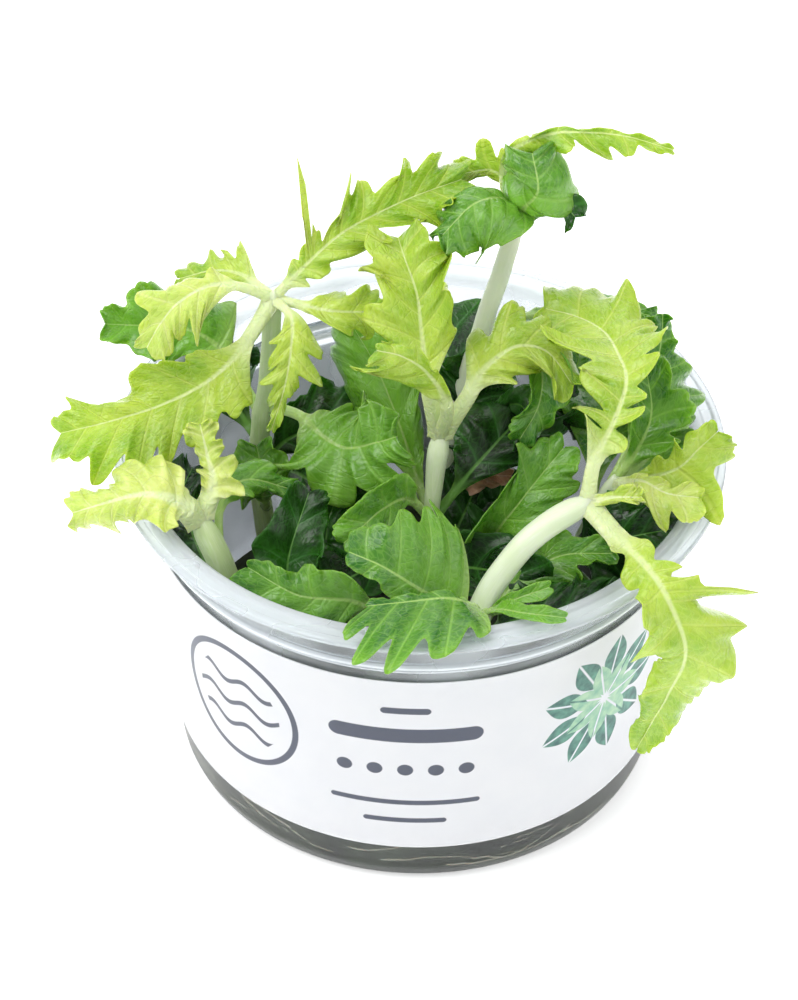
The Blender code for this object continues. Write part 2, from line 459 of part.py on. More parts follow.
def add_gel():
    """The gel fills the bottom of the cup, with a socket for each stem's foot."""
    inner = WALL + GAP
    gel = turned("gel", [
        (0, FLOOR + GAP), (FOOT_RADIUS - 2.4, FLOOR + GAP), (wall_radius(0) - 3.2, FLOOR + 1.3),
        (wall_radius(4.4) - inner, 4.4), (wall_radius(GEL_TOP) - inner, GEL_TOP), (0, GEL_TOP)])
    material(gel, "gel")
    for name, (foot, _, points) in STEMS.items():
        start = Vector(points[0])
        lean = (Vector(points[1]) - start).normalized()
        bm = bmesh.new()
        bmesh.ops.create_cone(bm, segments=12, radius1=(foot + SOCKET_GAP) * MM,
                              radius2=(foot + SOCKET_GAP) * MM, depth=2 * GEL_TOP * MM, cap_ends=True)
        socket = mesh_object(f"socket_{name}", bm)
        socket.location = (start + lean * (GEL_TOP - GAP)) * MM
        socket.rotation_euler = lean.to_track_quat("Z", "Y").to_euler()
        socket.hide_render = True
        socket.display_type = "WIRE"
        cut = gel.modifiers.new(f"cut_{name}", "BOOLEAN")
        cut.object = socket
        cut.operation = "DIFFERENCE"
        cut.solver = "EXACT"


def smooth_path(points, count):
    """Evenly spaced points on a Catmull-Rom curve through the given ones."""
    ends = [Vector(p) for p in points]
    ends = [2 * ends[0] - ends[1]] + ends + [2 * ends[-1] - ends[-2]]
    fine = []
    for a, b, c, d in zip(ends, ends[1:], ends[2:], ends[3:]):
        for k in range(20):
            t = k / 20
            fine.append(0.5 * (2 * b + (c - a) * t + (2 * a - 5 * b + 4 * c - d) * t * t
                               + (3 * b - a - 3 * c + d) * t ** 3))
    fine.append(ends[-2])
    lengths = [0.0]
    for p, q in zip(fine, fine[1:]):
        lengths.append(lengths[-1] + (q - p).length)
    even, at = [], 0
    for k in range(count):
        wanted = lengths[-1] * k / (count - 1)
        while at < len(fine) - 2 and lengths[at + 1] < wanted:
            at += 1
        share = (wanted - lengths[at]) / (lengths[at + 1] - lengths[at])
        even.append(fine[at].lerp(fine[at + 1], min(share, 1)))
    return even


def add_stem(name):
    """A stem is a bevelled curve with filled ends, its radius changing from foot to top."""
    foot, top, points = STEMS[name]
    path = smooth_path(points, STEM_POINTS)
    curve = bpy.data.curves.new(name, "CURVE")
    curve.dimensions = "3D"
    curve.bevel_depth = MM
    curve.bevel_resolution = 2
    curve.use_fill_caps = True
    spline = curve.splines.new("POLY")
    spline.points.add(len(path) - 1)
    for k, (point, place) in enumerate(zip(spline.points, path)):
        point.co = (*(place * MM), 1)
        point.radius = foot + (top - foot) * k / (len(path) - 1)
    spline.use_smooth = True
    obj = bpy.data.objects.new(name, curve)
    bpy.context.collection.objects.link(obj)
    material(obj, "stem")


def mixed(pair, share):
    """A value that runs from the first of the pair at the base to the second at the tip."""
    return pair[0] + (pair[1] - pair[0]) * share


def reach(leaf, lobes, u):
    """How far the blade reaches to one side at place u of the midrib."""
    stalk, half = leaf["stalk"]
    if u <= stalk:
        return half
    ends = [(stalk, half)] + lobes + [(1.0, TIP_HALF)]
    k = max(i for i, (place, _) in enumerate(ends[:-1]) if place <= u)
    (near, far_near), (away, far_away) = ends[k], ends[k + 1]
    x = min((u - near) / (away - near), 1)
    if k == 0:
        return far_near + (far_away - far_near) * x * x
    deep = mixed(leaf["cut"], u)
    if k == len(ends) - 2:
        deep *= 0.3
    return (far_near + (far_away - far_near) * x) * (1 - deep * (1 - abs(2 * x - 1) ** (1.6 + 2 * deep)))


def across(leaf, path, u):
    """The points across the blade at place u: left margin, midrib, right margin."""
    at = u * (len(path) - 1)
    k = min(int(at), len(path) - 2)
    here = path[k].lerp(path[k + 1], at - k)
    along = (path[min(k + 2, len(path) - 1)] - path[max(k - 1, 0)]).normalized()
    face = Vector(leaf["face"][0]).lerp(Vector(leaf["face"][-1]), u)
    up = (face - face.dot(along) * along).normalized()
    side = along.cross(up)
    swing = math.radians(mixed(leaf["sweep"], u))
    widest = max(far for _, far in leaf["left"] + leaf["right"])
    points = [here]
    for sign, lobes in ((-1, leaf["left"]), (1, leaf["right"])):
        far = reach(leaf, lobes, u)
        out = along * math.cos(swing) + side * (sign * math.sin(swing))
        rise = math.radians(leaf["fold"] - 0.5 * leaf["curl"] * far / widest)
        points.insert(1 + sign, here + (out * math.cos(rise) + up * math.sin(rise)) * far)
    return points


def free_of_stem(leaf, path):
    """The first place along the midrib where the stalk is clear of its stem."""
    foot, top, points = STEMS[leaf["stem"]]
    axis = smooth_path(points, RIB_POINTS)
    for k, here in enumerate(path):
        away, nearest = min(((spot - here).length, i) for i, spot in enumerate(axis))
        if away > mixed((foot, top), nearest / (RIB_POINTS - 1)) + STEM_CLEAR:
            return k / (RIB_POINTS - 1)
    return LAST_ROW


def row_places(leaf, start):
    """Where the blade has a row of points: its stalk, its lobe tips and the cuts between them."""
    wanted = [leaf["stalk"][0], LAST_ROW]
    for lobes in (leaf["left"], leaf["right"]):
        tips = [place for place, _ in lobes]
        wanted += tips + [(a + b) / 2 for a, b in zip(tips, tips[1:])]
        if leaf["cut"][0] > DEEP_CUT:
            wanted += [0.75 * a + 0.25 * b for a, b in zip(tips, tips[1:])]
            wanted += [0.25 * a + 0.75 * b for a, b in zip(tips, tips[1:])]
    kept = [start]
    for place in sorted(wanted):
        if place > kept[-1] + CLOSEST_ROWS:
            kept.append(place)
    return kept


def add_leaf(name):
    """A leaf is a strip of rows across its midrib, given its thickness on both sides."""
    leaf = LEAVES[name]
    path = smooth_path(leaf["rib"], RIB_POINTS)
    bm = bmesh.new()
    grid = []
    for u in row_places(leaf, free_of_stem(leaf, path)):
        grid.append([bm.verts.new(p * MM) for p in across(leaf, path, u)])
    for one, two in zip(grid, grid[1:]):
        bm.faces.new((one[0], one[1], two[1], two[0]))
        bm.faces.new((one[1], one[2], two[2], two[1]))
    obj = mesh_object(name, bm)
    thick = obj.modifiers.new("thick", "SOLIDIFY")
    thick.thickness = BLADE_THICK * MM
    thick.offset = 0
    material(obj, leaf["tone"])


def main():
    for obj in list(bpy.data.objects):
        bpy.data.objects.remove(obj)
    add_cup()
    add_label()
    add_gel()
    for name in STEMS:
        add_stem(name)
    for name in LEAVES:
        add_leaf(name)


main()
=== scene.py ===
import math

import bpy
import numpy as np
from mathutils import Matrix, Vector


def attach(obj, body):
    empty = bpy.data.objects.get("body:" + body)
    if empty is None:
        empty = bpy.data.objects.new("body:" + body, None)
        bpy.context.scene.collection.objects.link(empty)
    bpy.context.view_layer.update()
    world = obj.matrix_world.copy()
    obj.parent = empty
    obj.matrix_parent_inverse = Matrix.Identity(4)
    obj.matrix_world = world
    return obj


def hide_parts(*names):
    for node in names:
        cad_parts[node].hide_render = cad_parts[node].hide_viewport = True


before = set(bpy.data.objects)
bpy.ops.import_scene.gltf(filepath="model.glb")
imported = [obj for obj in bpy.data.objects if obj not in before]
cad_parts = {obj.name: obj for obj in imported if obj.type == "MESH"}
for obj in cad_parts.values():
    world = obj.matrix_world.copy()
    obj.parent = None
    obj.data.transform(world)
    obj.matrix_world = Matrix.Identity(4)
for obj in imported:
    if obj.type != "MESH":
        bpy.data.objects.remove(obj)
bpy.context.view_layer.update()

mm = 0.001
rgba = {"out": 2, "data_type": "RGBA"}  # for a Mix node that mixes colours


def linearColour(hexColour):
    # sRGB hex to the linear values that the sockets take
    parts = [int(hexColour[i:i + 2], 16) / 255 for i in (1, 3, 5)]
    return [c / 12.92 if c <= 0.04045 else ((c + 0.055) / 1.055) ** 2.4 for c in parts] + [1.0]


def addNode(tree, kind, inputs={}, out=0, **settings):
    # one node with its settings, its values, its hex colours and its links
    made = tree.nodes.new("ShaderNode" + kind)
    for name, value in settings.items():
        setattr(made, name, value)
    for key, value in inputs.items():
        if isinstance(value, bpy.types.NodeSocket):
            tree.links.new(value, made.inputs[key])
        else:
            made.inputs[key].default_value = linearColour(value) if isinstance(value, str) else value
    return made.outputs[out]


def newMaterial(name):
    made = bpy.data.materials.new(name)
    made.use_nodes = True
    return made, made.node_tree, made.node_tree.nodes["Principled BSDF"]


def deselectAll():
    if bpy.context.mode != "OBJECT":
        bpy.ops.object.mode_set(mode="OBJECT")
    bpy.ops.object.select_all(action="DESELECT")


def applyModifiers(piece):
    bpy.context.view_layer.objects.active = piece
    for modifier in list(piece.modifiers):
        bpy.ops.object.modifier_apply(modifier=modifier.name)


def setPiece(piece, material, slot, *nodes):
    # the piece takes its finish, rides on the one body and stands for its CAD nodes
    piece.data.materials.clear()
    piece.data.materials.append(material)
    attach(piece, "root")
    if nodes:
        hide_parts(*nodes)


def smoothPath(points, count):
    # evenly spaced points, in mm, on a Catmull-Rom curve through the given ones
    ends = np.array(points, float)
    ends = np.vstack([2 * ends[0] - ends[1], ends, 2 * ends[-1] - ends[-2]])
    t = np.linspace(0, 1, 24, endpoint=False)[:, None]
    fine = [0.5 * (2 * b + (c - a) * t + (2 * a - 5 * b + 4 * c - d) * t ** 2
                   + (3 * b - a - 3 * c + d) * t ** 3)
            for a, b, c, d in zip(ends, ends[1:], ends[2:], ends[3:])]
    fine = np.vstack(fine + [ends[-2:-1]])
    lengths = np.concatenate([[0], np.cumsum(np.linalg.norm(np.diff(fine, axis=0), axis=1))])
    wanted = np.linspace(0, lengths[-1], count)
    return np.stack([np.interp(wanted, lengths, fine[:, i]) for i in range(3)], axis=1), lengths[-1]


def unit(vectors):
    return vectors / np.linalg.norm(vectors, axis=-1, keepdims=True)


# The cup

cup = {
    "height": 61.6, "lipRadius": 50.0, "lipInner": 45.6, "lipThick": 1.2,
    "wallAtBase": 40.9, "wallSlope": 0.06, "wall": 0.8, "floor": 1.0, "footRadius": 38.0,
    "ledgeHeight": 51.4, "ledgeStep": 0.8, "bead": 53.0, "beadOut": 0.75, "corner": 0.6, "steps": 160,
    # height in mm and how clear the plastic is there: milky at the lip, clearest at the foot, and nearly
    # opaque in thin bands at the ledge and the bead, which are painted highlight lines
    "clear": [(1, 1.25), (10, 1.25), (15, 0.85), (48, 0.85), (50.8, 0.9), (51.1, 0.1), (51.6, 0.1),
              (51.9, 0.9), (52.4, 0.9), (52.7, 0.05), (53.3, 0.05), (53.6, 0.85), (58.5, 0.85), (60.4, 0.65)],
    "haze": (9, 13), "colour": "#eef4f8",  # the haze at the foot ends between these heights
}


def wallRadius(z):
    return cup["wallAtBase"] + cup["wallSlope"] * z


def spinProfile(name, profile, steps):
    # a ring of points becomes the half section, which is spun round Z and closed
    deselectAll()
    bpy.ops.mesh.primitive_circle_add(vertices=len(profile), radius=0.01, location=(0, 0, 0))
    piece = bpy.context.object
    piece.name = name
    for vertex, (r, z) in zip(piece.data.vertices, profile):
        vertex.co = (r * mm, 0, z * mm)
    bpy.ops.object.mode_set(mode="EDIT")
    bpy.ops.mesh.select_all(action="DESELECT")
    bpy.ops.object.mode_set(mode="OBJECT")
    for edge in piece.data.edges:  # the edge on the axis goes
        edge.select = all(abs(piece.data.vertices[i].co.x) < 1e-9 for i in edge.vertices)
    bpy.ops.object.mode_set(mode="EDIT")
    bpy.ops.mesh.select_mode(type="EDGE")
    bpy.ops.mesh.delete(type="EDGE")
    bpy.ops.mesh.select_mode(type="VERT")
    bpy.ops.mesh.select_all(action="SELECT")
    bpy.ops.mesh.spin(steps=steps, angle=2 * math.pi, center=(0, 0, 0), axis=(0, 0, 1))
    bpy.ops.mesh.select_all(action="SELECT")
    bpy.ops.mesh.remove_doubles(threshold=1e-6)
    bpy.ops.mesh.normals_make_consistent(inside=False)
    bpy.ops.object.mode_set(mode="OBJECT")
    bpy.ops.object.shade_smooth_by_angle(angle=math.radians(40))
    return piece


def rounded(points, corner, steps=3):
    # the corners of a half section, each turned into a short arc
    out = [points[0]]
    for before, here, after in zip(points, points[1:], points[2:]):
        a, b, c = Vector(before), Vector(here), Vector(after)
        cut = min(corner, 0.45 * (a - b).length, 0.45 * (c - b).length)
        p, q = b + (a - b).normalized() * cut, b + (c - b).normalized() * cut
        for k in range(steps + 1):
            t = k / steps
            out.append(tuple(p * (1 - t) ** 2 + b * 2 * t * (1 - t) + q * t ** 2))
    return out + [points[-1]]


def clearCupMaterial():
    # polypropylene, injection moulded: clear with a faint milkiness, and softly wavy gloss
    made, tree, shader = newMaterial("clear_polypropylene_moulded")
    place = addNode(tree, "TexCoord", out="Object")
    waves = addNode(tree, "TexNoise", {"Vector": place, "Scale": 60.0, "Detail": 2.0})
    fine = addNode(tree, "TexNoise", {"Vector": place, "Scale": 900.0, "Detail": 2.0})
    relief = addNode(tree, "Math", {0: fine, 1: 0.06, 2: waves}, operation="MULTIPLY_ADD")
    bump = addNode(tree, "Bump", {"Strength": 0.12, "Distance": 0.3 * mm, "Height": relief})
    rough = addNode(tree, "MapRange", {"Value": waves, "From Min": 0.35, "From Max": 0.65,
                                       "To Min": 0.14, "To Max": 0.32})
    height = addNode(tree, "SeparateXYZ", {"Vector": place}, out=2)
    # hazier near the foot, where the melt cools first
    low, high = cup["haze"]
    haze = addNode(tree, "MapRange", {"Value": height, "From Min": low * mm, "From Max": high * mm,
                                      "To Min": 0.3, "To Max": 0.0})
    rough = addNode(tree, "Math", {0: rough, 1: haze}, operation="MAXIMUM")
    level = addNode(tree, "MapRange", {"Value": height, "From Max": cup["height"] * mm})
    # the thin white bands at the ledge and the bead are painted highlight lines
    clear = addNode(tree, "ValToRGB", {"Fac": level})
    ramp = clear.node.color_ramp
    for z, share in cup["clear"]:
        ramp.elements.new(z / cup["height"]).color = (share, share, share, 1)
    ramp.elements.remove(ramp.elements[0])
    ramp.elements.remove(ramp.elements[-1])
    cloudy = addNode(tree, "MapRange", {"Value": waves, "From Min": 0.35, "From Max": 0.65,
                                        "To Min": 1.05, "To Max": 0.8})
    clear = addNode(tree, "Math", {0: clear, 1: cloudy}, operation="MULTIPLY", use_clamp=True)
    tree.links.new(clear, shader.inputs["Transmission Weight"])
    tree.links.new(rough, shader.inputs["Roughness"])
    tree.links.new(bump, shader.inputs["Normal"])
    shader.inputs["Base Color"].default_value = linearColour(cup["colour"])
    shader.inputs["IOR"].default_value = 1.49
    return made


def makeCup():
    lip, inner, wall = cup["lipRadius"], cup["lipInner"], cup["wall"]
    floor, foot = cup["floor"], cup["footRadius"]
    top, step, bead = cup["height"], cup["ledgeHeight"], cup["bead"]
    under = top - cup["lipThick"]
    ledge = wallRadius(step)
    upper = ledge + cup["ledgeStep"]
    out = upper + cup["beadOut"]
    profile = [
        # the underside with its standing ring, and the wall
        (0, 0.25), (33, 0.25), (34.2, 0), (foot, 0), (wallRadius(0) - 0.6, 0.9), (wallRadius(3), 3),
        # the ledge and the bead above it
        (ledge - 0.1, step - 0.9), (ledge + 0.25, step - 0.3), (upper, step + 0.2),
        (upper + 0.03, bead - 0.6), (out, bead - 0.2), (out, bead + 0.2), (upper + 0.07, bead + 0.6),
        # the lip, with a shallow channel along its top
        (inner + 0.1, under - 0.6), (inner + 0.9, under), (lip - 0.9, under), (lip - 0.5, under - 0.15),
        (lip, under + 0.25), (lip, top - 0.3), (lip - 0.4, top), (lip - 1.2, top), (lip - 1.5, top - 0.4),
        (inner + 1.5, top - 0.4), (inner + 1.1, top), (inner, top),
        # the inside, down to the floor
        (inner - 0.6, top - 0.7), (upper - wall, step + 1.2), (ledge - wall, step + 0.1),
        (wallRadius(3.6) - wall, 3.6), (wallRadius(0) - 2.4, floor + 0.6), (foot - 1.5, floor), (0, floor),
    ]
    piece = spinProfile("cup_shell", rounded(profile, cup["corner"]), cup["steps"])
    setPiece(piece, clearCupMaterial(), "cup_plastic", "cup")


makeCup()
print("cup done")


# The label

label = {
    "bottom": 9.2, "top": 49.0, "radius": 43.5, "thick": 0.2, "gap": 0.3, "overlap": 3.0, "lift": 0.02,
    "steps": 192, "paper": "#f0f2f9", "paperShade": "#e5e9f3", "ink": "#454b5c",
    # bars and dots of the print: middle along the wall and height, half length, half height, in mm
    "bars": [(-2.0, 42.4, 4.0, 0.7), (-2.0, 36.6, 12.5, 1.6), (-2.0, 20.4, 12.5, 0.55),
             (-2.0, 16.0, 7.0, 0.55), *((x, 28.4, 1.3, 1.3) for x in (-12.0, -7.0, -2.0, 3.0, 8.0))],
    # middles of the emblem and the rosette, radius and half line of the ring, and half the emblem's waves
    "emblem": (-32.5, 32.0), "rosette": (33.5, 33.5), "ring": (12.0, 0.55), "waves": 7.0,
    # rings of leaves in the rosette: how many, where they start and end, half width, deep and light tint
    "rings": [(9, 4.0, 13.5, 2.7, "#2d5f5b", "#5f9a86"), (7, 0.5, 9.0, 2.2, "#7fb79c", "#b4d8b4")],
}


def labelMaterial():
    # white polypropylene film, flexo printed: even bluish white with dense flat ink and a satin face
    made, tree, shader = newMaterial("white_film_label_printed")
    place = addNode(tree, "TexCoord", out="Object")
    x, y, z = addNode(tree, "SeparateXYZ", {"Vector": place}).node.outputs
    toFront = addNode(tree, "Math", {0: y, 1: -1.0}, operation="MULTIPLY")
    angle = addNode(tree, "Math", {0: x, 1: toFront}, operation="ARCTAN2")
    arc = addNode(tree, "Math", {0: angle, 1: label["radius"]}, operation="MULTIPLY")  # mm along the wall
    high = addNode(tree, "Math", {0: z, 1: 1 / mm}, operation="MULTIPLY")
    nearest = None
    for middle, level, halfLong, halfHigh in label["bars"]:
        dx = arc
        for work, value in (("SUBTRACT", middle), ("ABSOLUTE", 0.0), ("SUBTRACT", halfLong - halfHigh),
                            ("MAXIMUM", 0.0)):
            dx = addNode(tree, "Math", {0: dx, 1: value}, operation=work)
        dz = addNode(tree, "Math", {0: high, 1: level}, operation="SUBTRACT")
        both = addNode(tree, "CombineXYZ", {0: dx, 1: dz})
        far = addNode(tree, "VectorMath", {0: both}, out="Value", operation="LENGTH")
        far = addNode(tree, "Math", {0: far, 1: halfHigh}, operation="SUBTRACT")
        nearest = far if nearest is None else addNode(tree, "Math", {0: nearest, 1: far}, operation="MINIMUM")
    offsets = []  # from the middle of the emblem and of the rosette
    for middle, level in (label["emblem"], label["rosette"]):
        dx = addNode(tree, "Math", {0: arc, 1: middle}, operation="SUBTRACT")
        dz = addNode(tree, "Math", {0: high, 1: level}, operation="SUBTRACT")
        flat = addNode(tree, "CombineXYZ", {0: dx, 1: dz})
        away = addNode(tree, "VectorMath", {0: flat}, out="Value", operation="LENGTH")
        offsets.append((dx, dz, flat, away))
    # the emblem: a ring with three water lines in it, 5 mm apart and 0.9 mm high
    dx, dz, _, away = offsets[0]
    ring, swell, offMiddle = away, dx, dz
    radius, halfLine = label["ring"]
    for work, value in (("SUBTRACT", radius), ("ABSOLUTE", 0.0), ("SUBTRACT", halfLine)):
        ring = addNode(tree, "Math", {0: ring, 1: value}, operation=work)
    for work, value in (("MULTIPLY", 0.75), ("SINE", 0.0)):
        swell = addNode(tree, "Math", {0: swell, 1: value}, operation=work)
    line = addNode(tree, "Math", {0: swell, 1: -0.9, 2: dz}, operation="MULTIPLY_ADD")
    for work, value in (("PINGPONG", 2.5), ("SUBTRACT", 0.5)):
        line = addNode(tree, "Math", {0: line, 1: value}, operation=work)
    inRing = addNode(tree, "Math", {0: away, 1: radius - 3.0}, operation="SUBTRACT")
    for work, value in (("ABSOLUTE", 0.0), ("SUBTRACT", label["waves"])):
        offMiddle = addNode(tree, "Math", {0: offMiddle, 1: value}, operation=work)
    for limit in (inRing, offMiddle):
        line = addNode(tree, "Math", {0: line, 1: limit}, operation="MAXIMUM")
    for far in (ring, line):
        nearest = addNode(tree, "Math", {0: nearest, 1: far}, operation="MINIMUM")
    ink = addNode(tree, "MapRange", {"Value": nearest, "From Min": -0.06, "From Max": 0.08,
                                     "To Min": 1.0, "To Max": 0.0})
    soft = addNode(tree, "TexNoise", {"Vector": place, "Scale": 120.0, "Detail": 3.0})
    printed = addNode(tree, "Mix", {0: soft, 6: label["paper"], 7: label["paperShade"]}, **rgba)
    # only the outer face is printed
    around = addNode(tree, "CombineXYZ", {0: x, 1: y})
    radius = addNode(tree, "VectorMath", {0: around}, out="Value", operation="LENGTH")
    radius = addNode(tree, "Math", {0: radius, 1: 1 / mm}, operation="MULTIPLY")
    radius = addNode(tree, "Math", {0: high, 1: -cup["wallSlope"], 2: radius}, operation="MULTIPLY_ADD")
    face = cup["wallAtBase"] + label["gap"] + label["thick"] / 2
    outer = addNode(tree, "Math", {0: radius, 1: face}, operation="GREATER_THAN")
    ink = addNode(tree, "Math", {0: ink, 1: outer}, operation="MULTIPLY")
    # the rosette: each leaf is a lens along its own ray, washed from deep to light
    dx, dz, flat, away = offsets[1]
    turn = addNode(tree, "Math", {0: dz, 1: dx}, operation="ARCTAN2")
    wash = addNode(tree, "TexNoise", {"Vector": flat, "Scale": 0.5, "Detail": 3.0})
    wash = addNode(tree, "MapRange", {"Value": wash, "From Min": 0.35, "From Max": 0.65})
    for count, start, end, halfWide, deep, light in label["rings"]:
        ray = addNode(tree, "Math", {0: turn, 1: math.pi / count}, operation="PINGPONG")
        sine, cosine = (addNode(tree, "Math", {0: ray}, operation=work) for work in ("SINE", "COSINE"))
        across, along = (addNode(tree, "Math", {0: away, 1: part}, operation="MULTIPLY")
                         for part in (sine, cosine))
        wide = addNode(tree, "MapRange", {"Value": along, "From Min": start, "From Max": end,
                                          "To Max": math.pi})
        for work, value in (("SINE", 0.0), ("MULTIPLY", halfWide), ("SUBTRACT", across)):
            wide = addNode(tree, "Math", {0: wide, 1: value}, operation=work)
        inside = addNode(tree, "MapRange", {"Value": wide, "From Min": 0.05, "From Max": 0.2})
        midrib = addNode(tree, "MapRange", {"Value": across, "From Min": 0.1, "From Max": 0.3})
        for part in (midrib, outer):
            inside = addNode(tree, "Math", {0: inside, 1: part}, operation="MULTIPLY")
        tint = addNode(tree, "Mix", {0: wash, 6: deep, 7: light}, **rgba)
        printed = addNode(tree, "Mix", {0: inside, 6: printed, 7: tint}, **rgba)
    printed = addNode(tree, "Mix", {0: ink, 6: printed, 7: label["ink"]}, **rgba)
    rough = addNode(tree, "MapRange", {"Value": ink, "To Min": 0.42, "To Max": 0.3})
    grain = addNode(tree, "TexNoise", {"Vector": place, "Scale": 2500.0, "Detail": 1.0})
    bump = addNode(tree, "Bump", {"Strength": 0.08, "Distance": 0.05 * mm, "Height": grain})
    tree.links.new(printed, shader.inputs["Base Color"])
    tree.links.new(rough, shader.inputs["Roughness"])
    tree.links.new(bump, shader.inputs["Normal"])
    # thin film lets light through from outside, so its inner face is pale
    shader.inputs["Subsurface Weight"].default_value = 0.95
    shader.inputs["Subsurface Radius"].default_value = (1, 1, 1)
    shader.inputs["Subsurface Scale"].default_value = 0.8 * mm
    return made


def makeLabel():
    deselectAll()
    b = label
    middle = (b["top"] + b["bottom"]) / 2
    bpy.ops.mesh.primitive_cylinder_add(vertices=b["steps"], radius=wallRadius(middle) * mm,
                                        depth=(b["top"] - b["bottom"]) * mm, end_fill_type="NOTHING",
                                        location=(0, 0, middle * mm))
    piece = bpy.context.object
    piece.name = "wrap_label"
    bpy.ops.object.transform_apply(location=True, rotation=True, scale=True)
    for vertex in piece.data.vertices:  # the wall's slope
        spot = vertex.co
        away = (wallRadius(spot.z / mm) + b["gap"]) * mm / math.hypot(spot.x, spot.y)
        vertex.co = (spot.x * away, spot.y * away, spot.z)
    bpy.ops.object.mode_set(mode="EDIT")
    bpy.ops.mesh.select_all(action="SELECT")
    bpy.ops.mesh.normals_make_consistent(inside=False)
    bpy.ops.mesh.select_all(action="DESELECT")
    bpy.ops.mesh.select_mode(type="FACE")
    bpy.ops.object.mode_set(mode="OBJECT")
    for face in piece.data.polygons:  # the film's end is stuck down over its start, at the back
        face.select = face.center.y > 0 and abs(face.center.x) < b["overlap"] * mm
    bpy.ops.object.mode_set(mode="EDIT")
    bpy.ops.mesh.duplicate()
    bpy.ops.object.mode_set(mode="OBJECT")
    for vertex in piece.data.vertices:
        if vertex.select:
            outward = 1 + (b["thick"] + b["lift"]) * mm / math.hypot(vertex.co.x, vertex.co.y)
            vertex.co = (vertex.co.x * outward, vertex.co.y * outward, vertex.co.z)
    thick = piece.modifiers.new("thick", "SOLIDIFY")
    thick.thickness = b["thick"] * mm
    thick.offset = 1
    applyModifiers(piece)
    bpy.ops.object.shade_smooth_by_angle(angle=math.radians(40))
    setPiece(piece, labelMaterial(), "label_paper", "label")


makeLabel()
print("label done")


# The gel and the roots

gel = {"top": 12.0, "corner": 0.8, "steps": 96, "colour": "#48543c", "deep": "#161d10"}


def gelMaterial():
    # agar gel, poured and set: wet, cloudy and grey-green, with darker wisps in it
    made, tree, shader = newMaterial("agar_gel_poured")
    place = addNode(tree, "TexCoord", out="Object")
    wisps = addNode(tree, "TexNoise", {"Vector": place, "Scale": 70.0, "Detail": 4.0, "Distortion": 1.5})
    share = addNode(tree, "MapRange", {"Value": wisps, "From Min": 0.35, "From Max": 0.7})
    colour = addNode(tree, "Mix", {0: share, 6: gel["colour"], 7: gel["deep"]}, **rgba)
    ripple = addNode(tree, "TexNoise", {"Vector": place, "Scale": 200.0, "Detail": 2.0})
    bump = addNode(tree, "Bump", {"Strength": 0.3, "Distance": 0.4 * mm, "Height": ripple})
    tree.links.new(colour, shader.inputs["Base Color"])
    tree.links.new(bump, shader.inputs["Normal"])
    shader.inputs["Roughness"].default_value = 0.12
    shader.inputs["IOR"].default_value = 1.34
    shader.inputs["Transmission Weight"].default_value = 0.08
    return made


def makeGel():
    # it wets the wall with no air between them, so its skin lies halfway into the plastic
    top, base, skin = gel["top"], cup["floor"] - 0.4, cup["wall"] / 2
    rim = wallRadius(top)
    profile = [(0, base), (cup["footRadius"] - 1.5, base), (wallRadius(0) - 2.3, base + 0.6),
               (wallRadius(3.6) - skin, 3.6), (rim - skin, top),
               (rim - 1.8, top - 0.5), (rim - 4, top - 0.8), (0, top - 0.9)]  # its top sinks a little
    piece = spinProfile("gel_disc", rounded(profile, gel["corner"]), gel["steps"])
    setPiece(piece, gelMaterial(), "gel", "gel")


roots = {
    "count": 64, "steps": 23, "seed": 11, "colour": "#eeeada", "shade": "#b3aa84",
    # in mm: half thickness, height and distance from the wall at the start; radians that each step turns
    "thick": (0.13, 0.3), "height": (3.0, 10.0), "inward": (0, 0.5), "turn": (0.008, 0.03),
}


def rootMaterial():
    # young roots: matt, cream to light brown, a little see-through
    made, tree, shader = newMaterial("young_root_grown")
    place = addNode(tree, "TexCoord", out="Object")
    noise = addNode(tree, "TexNoise", {"Vector": place, "Scale": 160.0, "Detail": 3.0})
    colour = addNode(tree, "Mix", {0: noise, 6: roots["colour"], 7: roots["shade"]}, **rgba)
    tree.links.new(colour, shader.inputs["Base Color"])
    shader.inputs["Roughness"].default_value = 0.5
    shader.inputs["Subsurface Weight"].default_value = 0.2
    shader.inputs["Subsurface Scale"].default_value = 0.4 * mm
    return made


def makeRoots():
    # wandering threads near the wall and under the stems, one curve turned into a mesh
    deselectAll()
    rng = np.random.RandomState(roots["seed"])
    bpy.ops.curve.primitive_bezier_curve_add(location=(0, 0, 0))
    piece = bpy.context.object
    piece.name = "roots"
    curve = piece.data
    curve.splines.clear()
    curve.dimensions = "3D"
    curve.bevel_depth = mm
    curve.bevel_resolution = 1
    curve.use_fill_caps = True
    for k in range(roots["count"]):
        angle, height = rng.uniform(0, 2 * math.pi), rng.uniform(*roots["height"])
        inward, turn = rng.uniform(*roots["inward"]), rng.choice([-1, 1])
        spline = curve.splines.new("POLY")
        spline.points.add(roots["steps"])
        half = rng.uniform(*roots["thick"])
        drift = 0.0
        for i, point in enumerate(spline.points):
            drift = 0.8 * drift + rng.normal(0, 0.3)
            angle += turn * rng.uniform(*roots["turn"])
            height = min(max(height + drift * 0.35, 3.2), 10.8)
            inward = min(max(inward + rng.normal(0, 0.12), 0), 4)
            radius = wallRadius(height) - cup["wall"] / 2 + 0.05 - inward  # most press against the wall
            point.co = (radius * math.cos(angle) * mm, radius * math.sin(angle) * mm, height * mm, 1)
            point.radius = half * (1 - 0.7 * i / roots["steps"])
    bpy.ops.object.convert(target="MESH")
    bpy.ops.object.shade_smooth()
    setPiece(bpy.context.object, rootMaterial(), "stem")


makeGel()
makeRoots()
print("gel and roots done")


# The stems

stemLook = {"pale": "#f3f9e8", "green": "#bcd87e", "ridge": "#fafdf3", "shade": "#d2e6b0"}
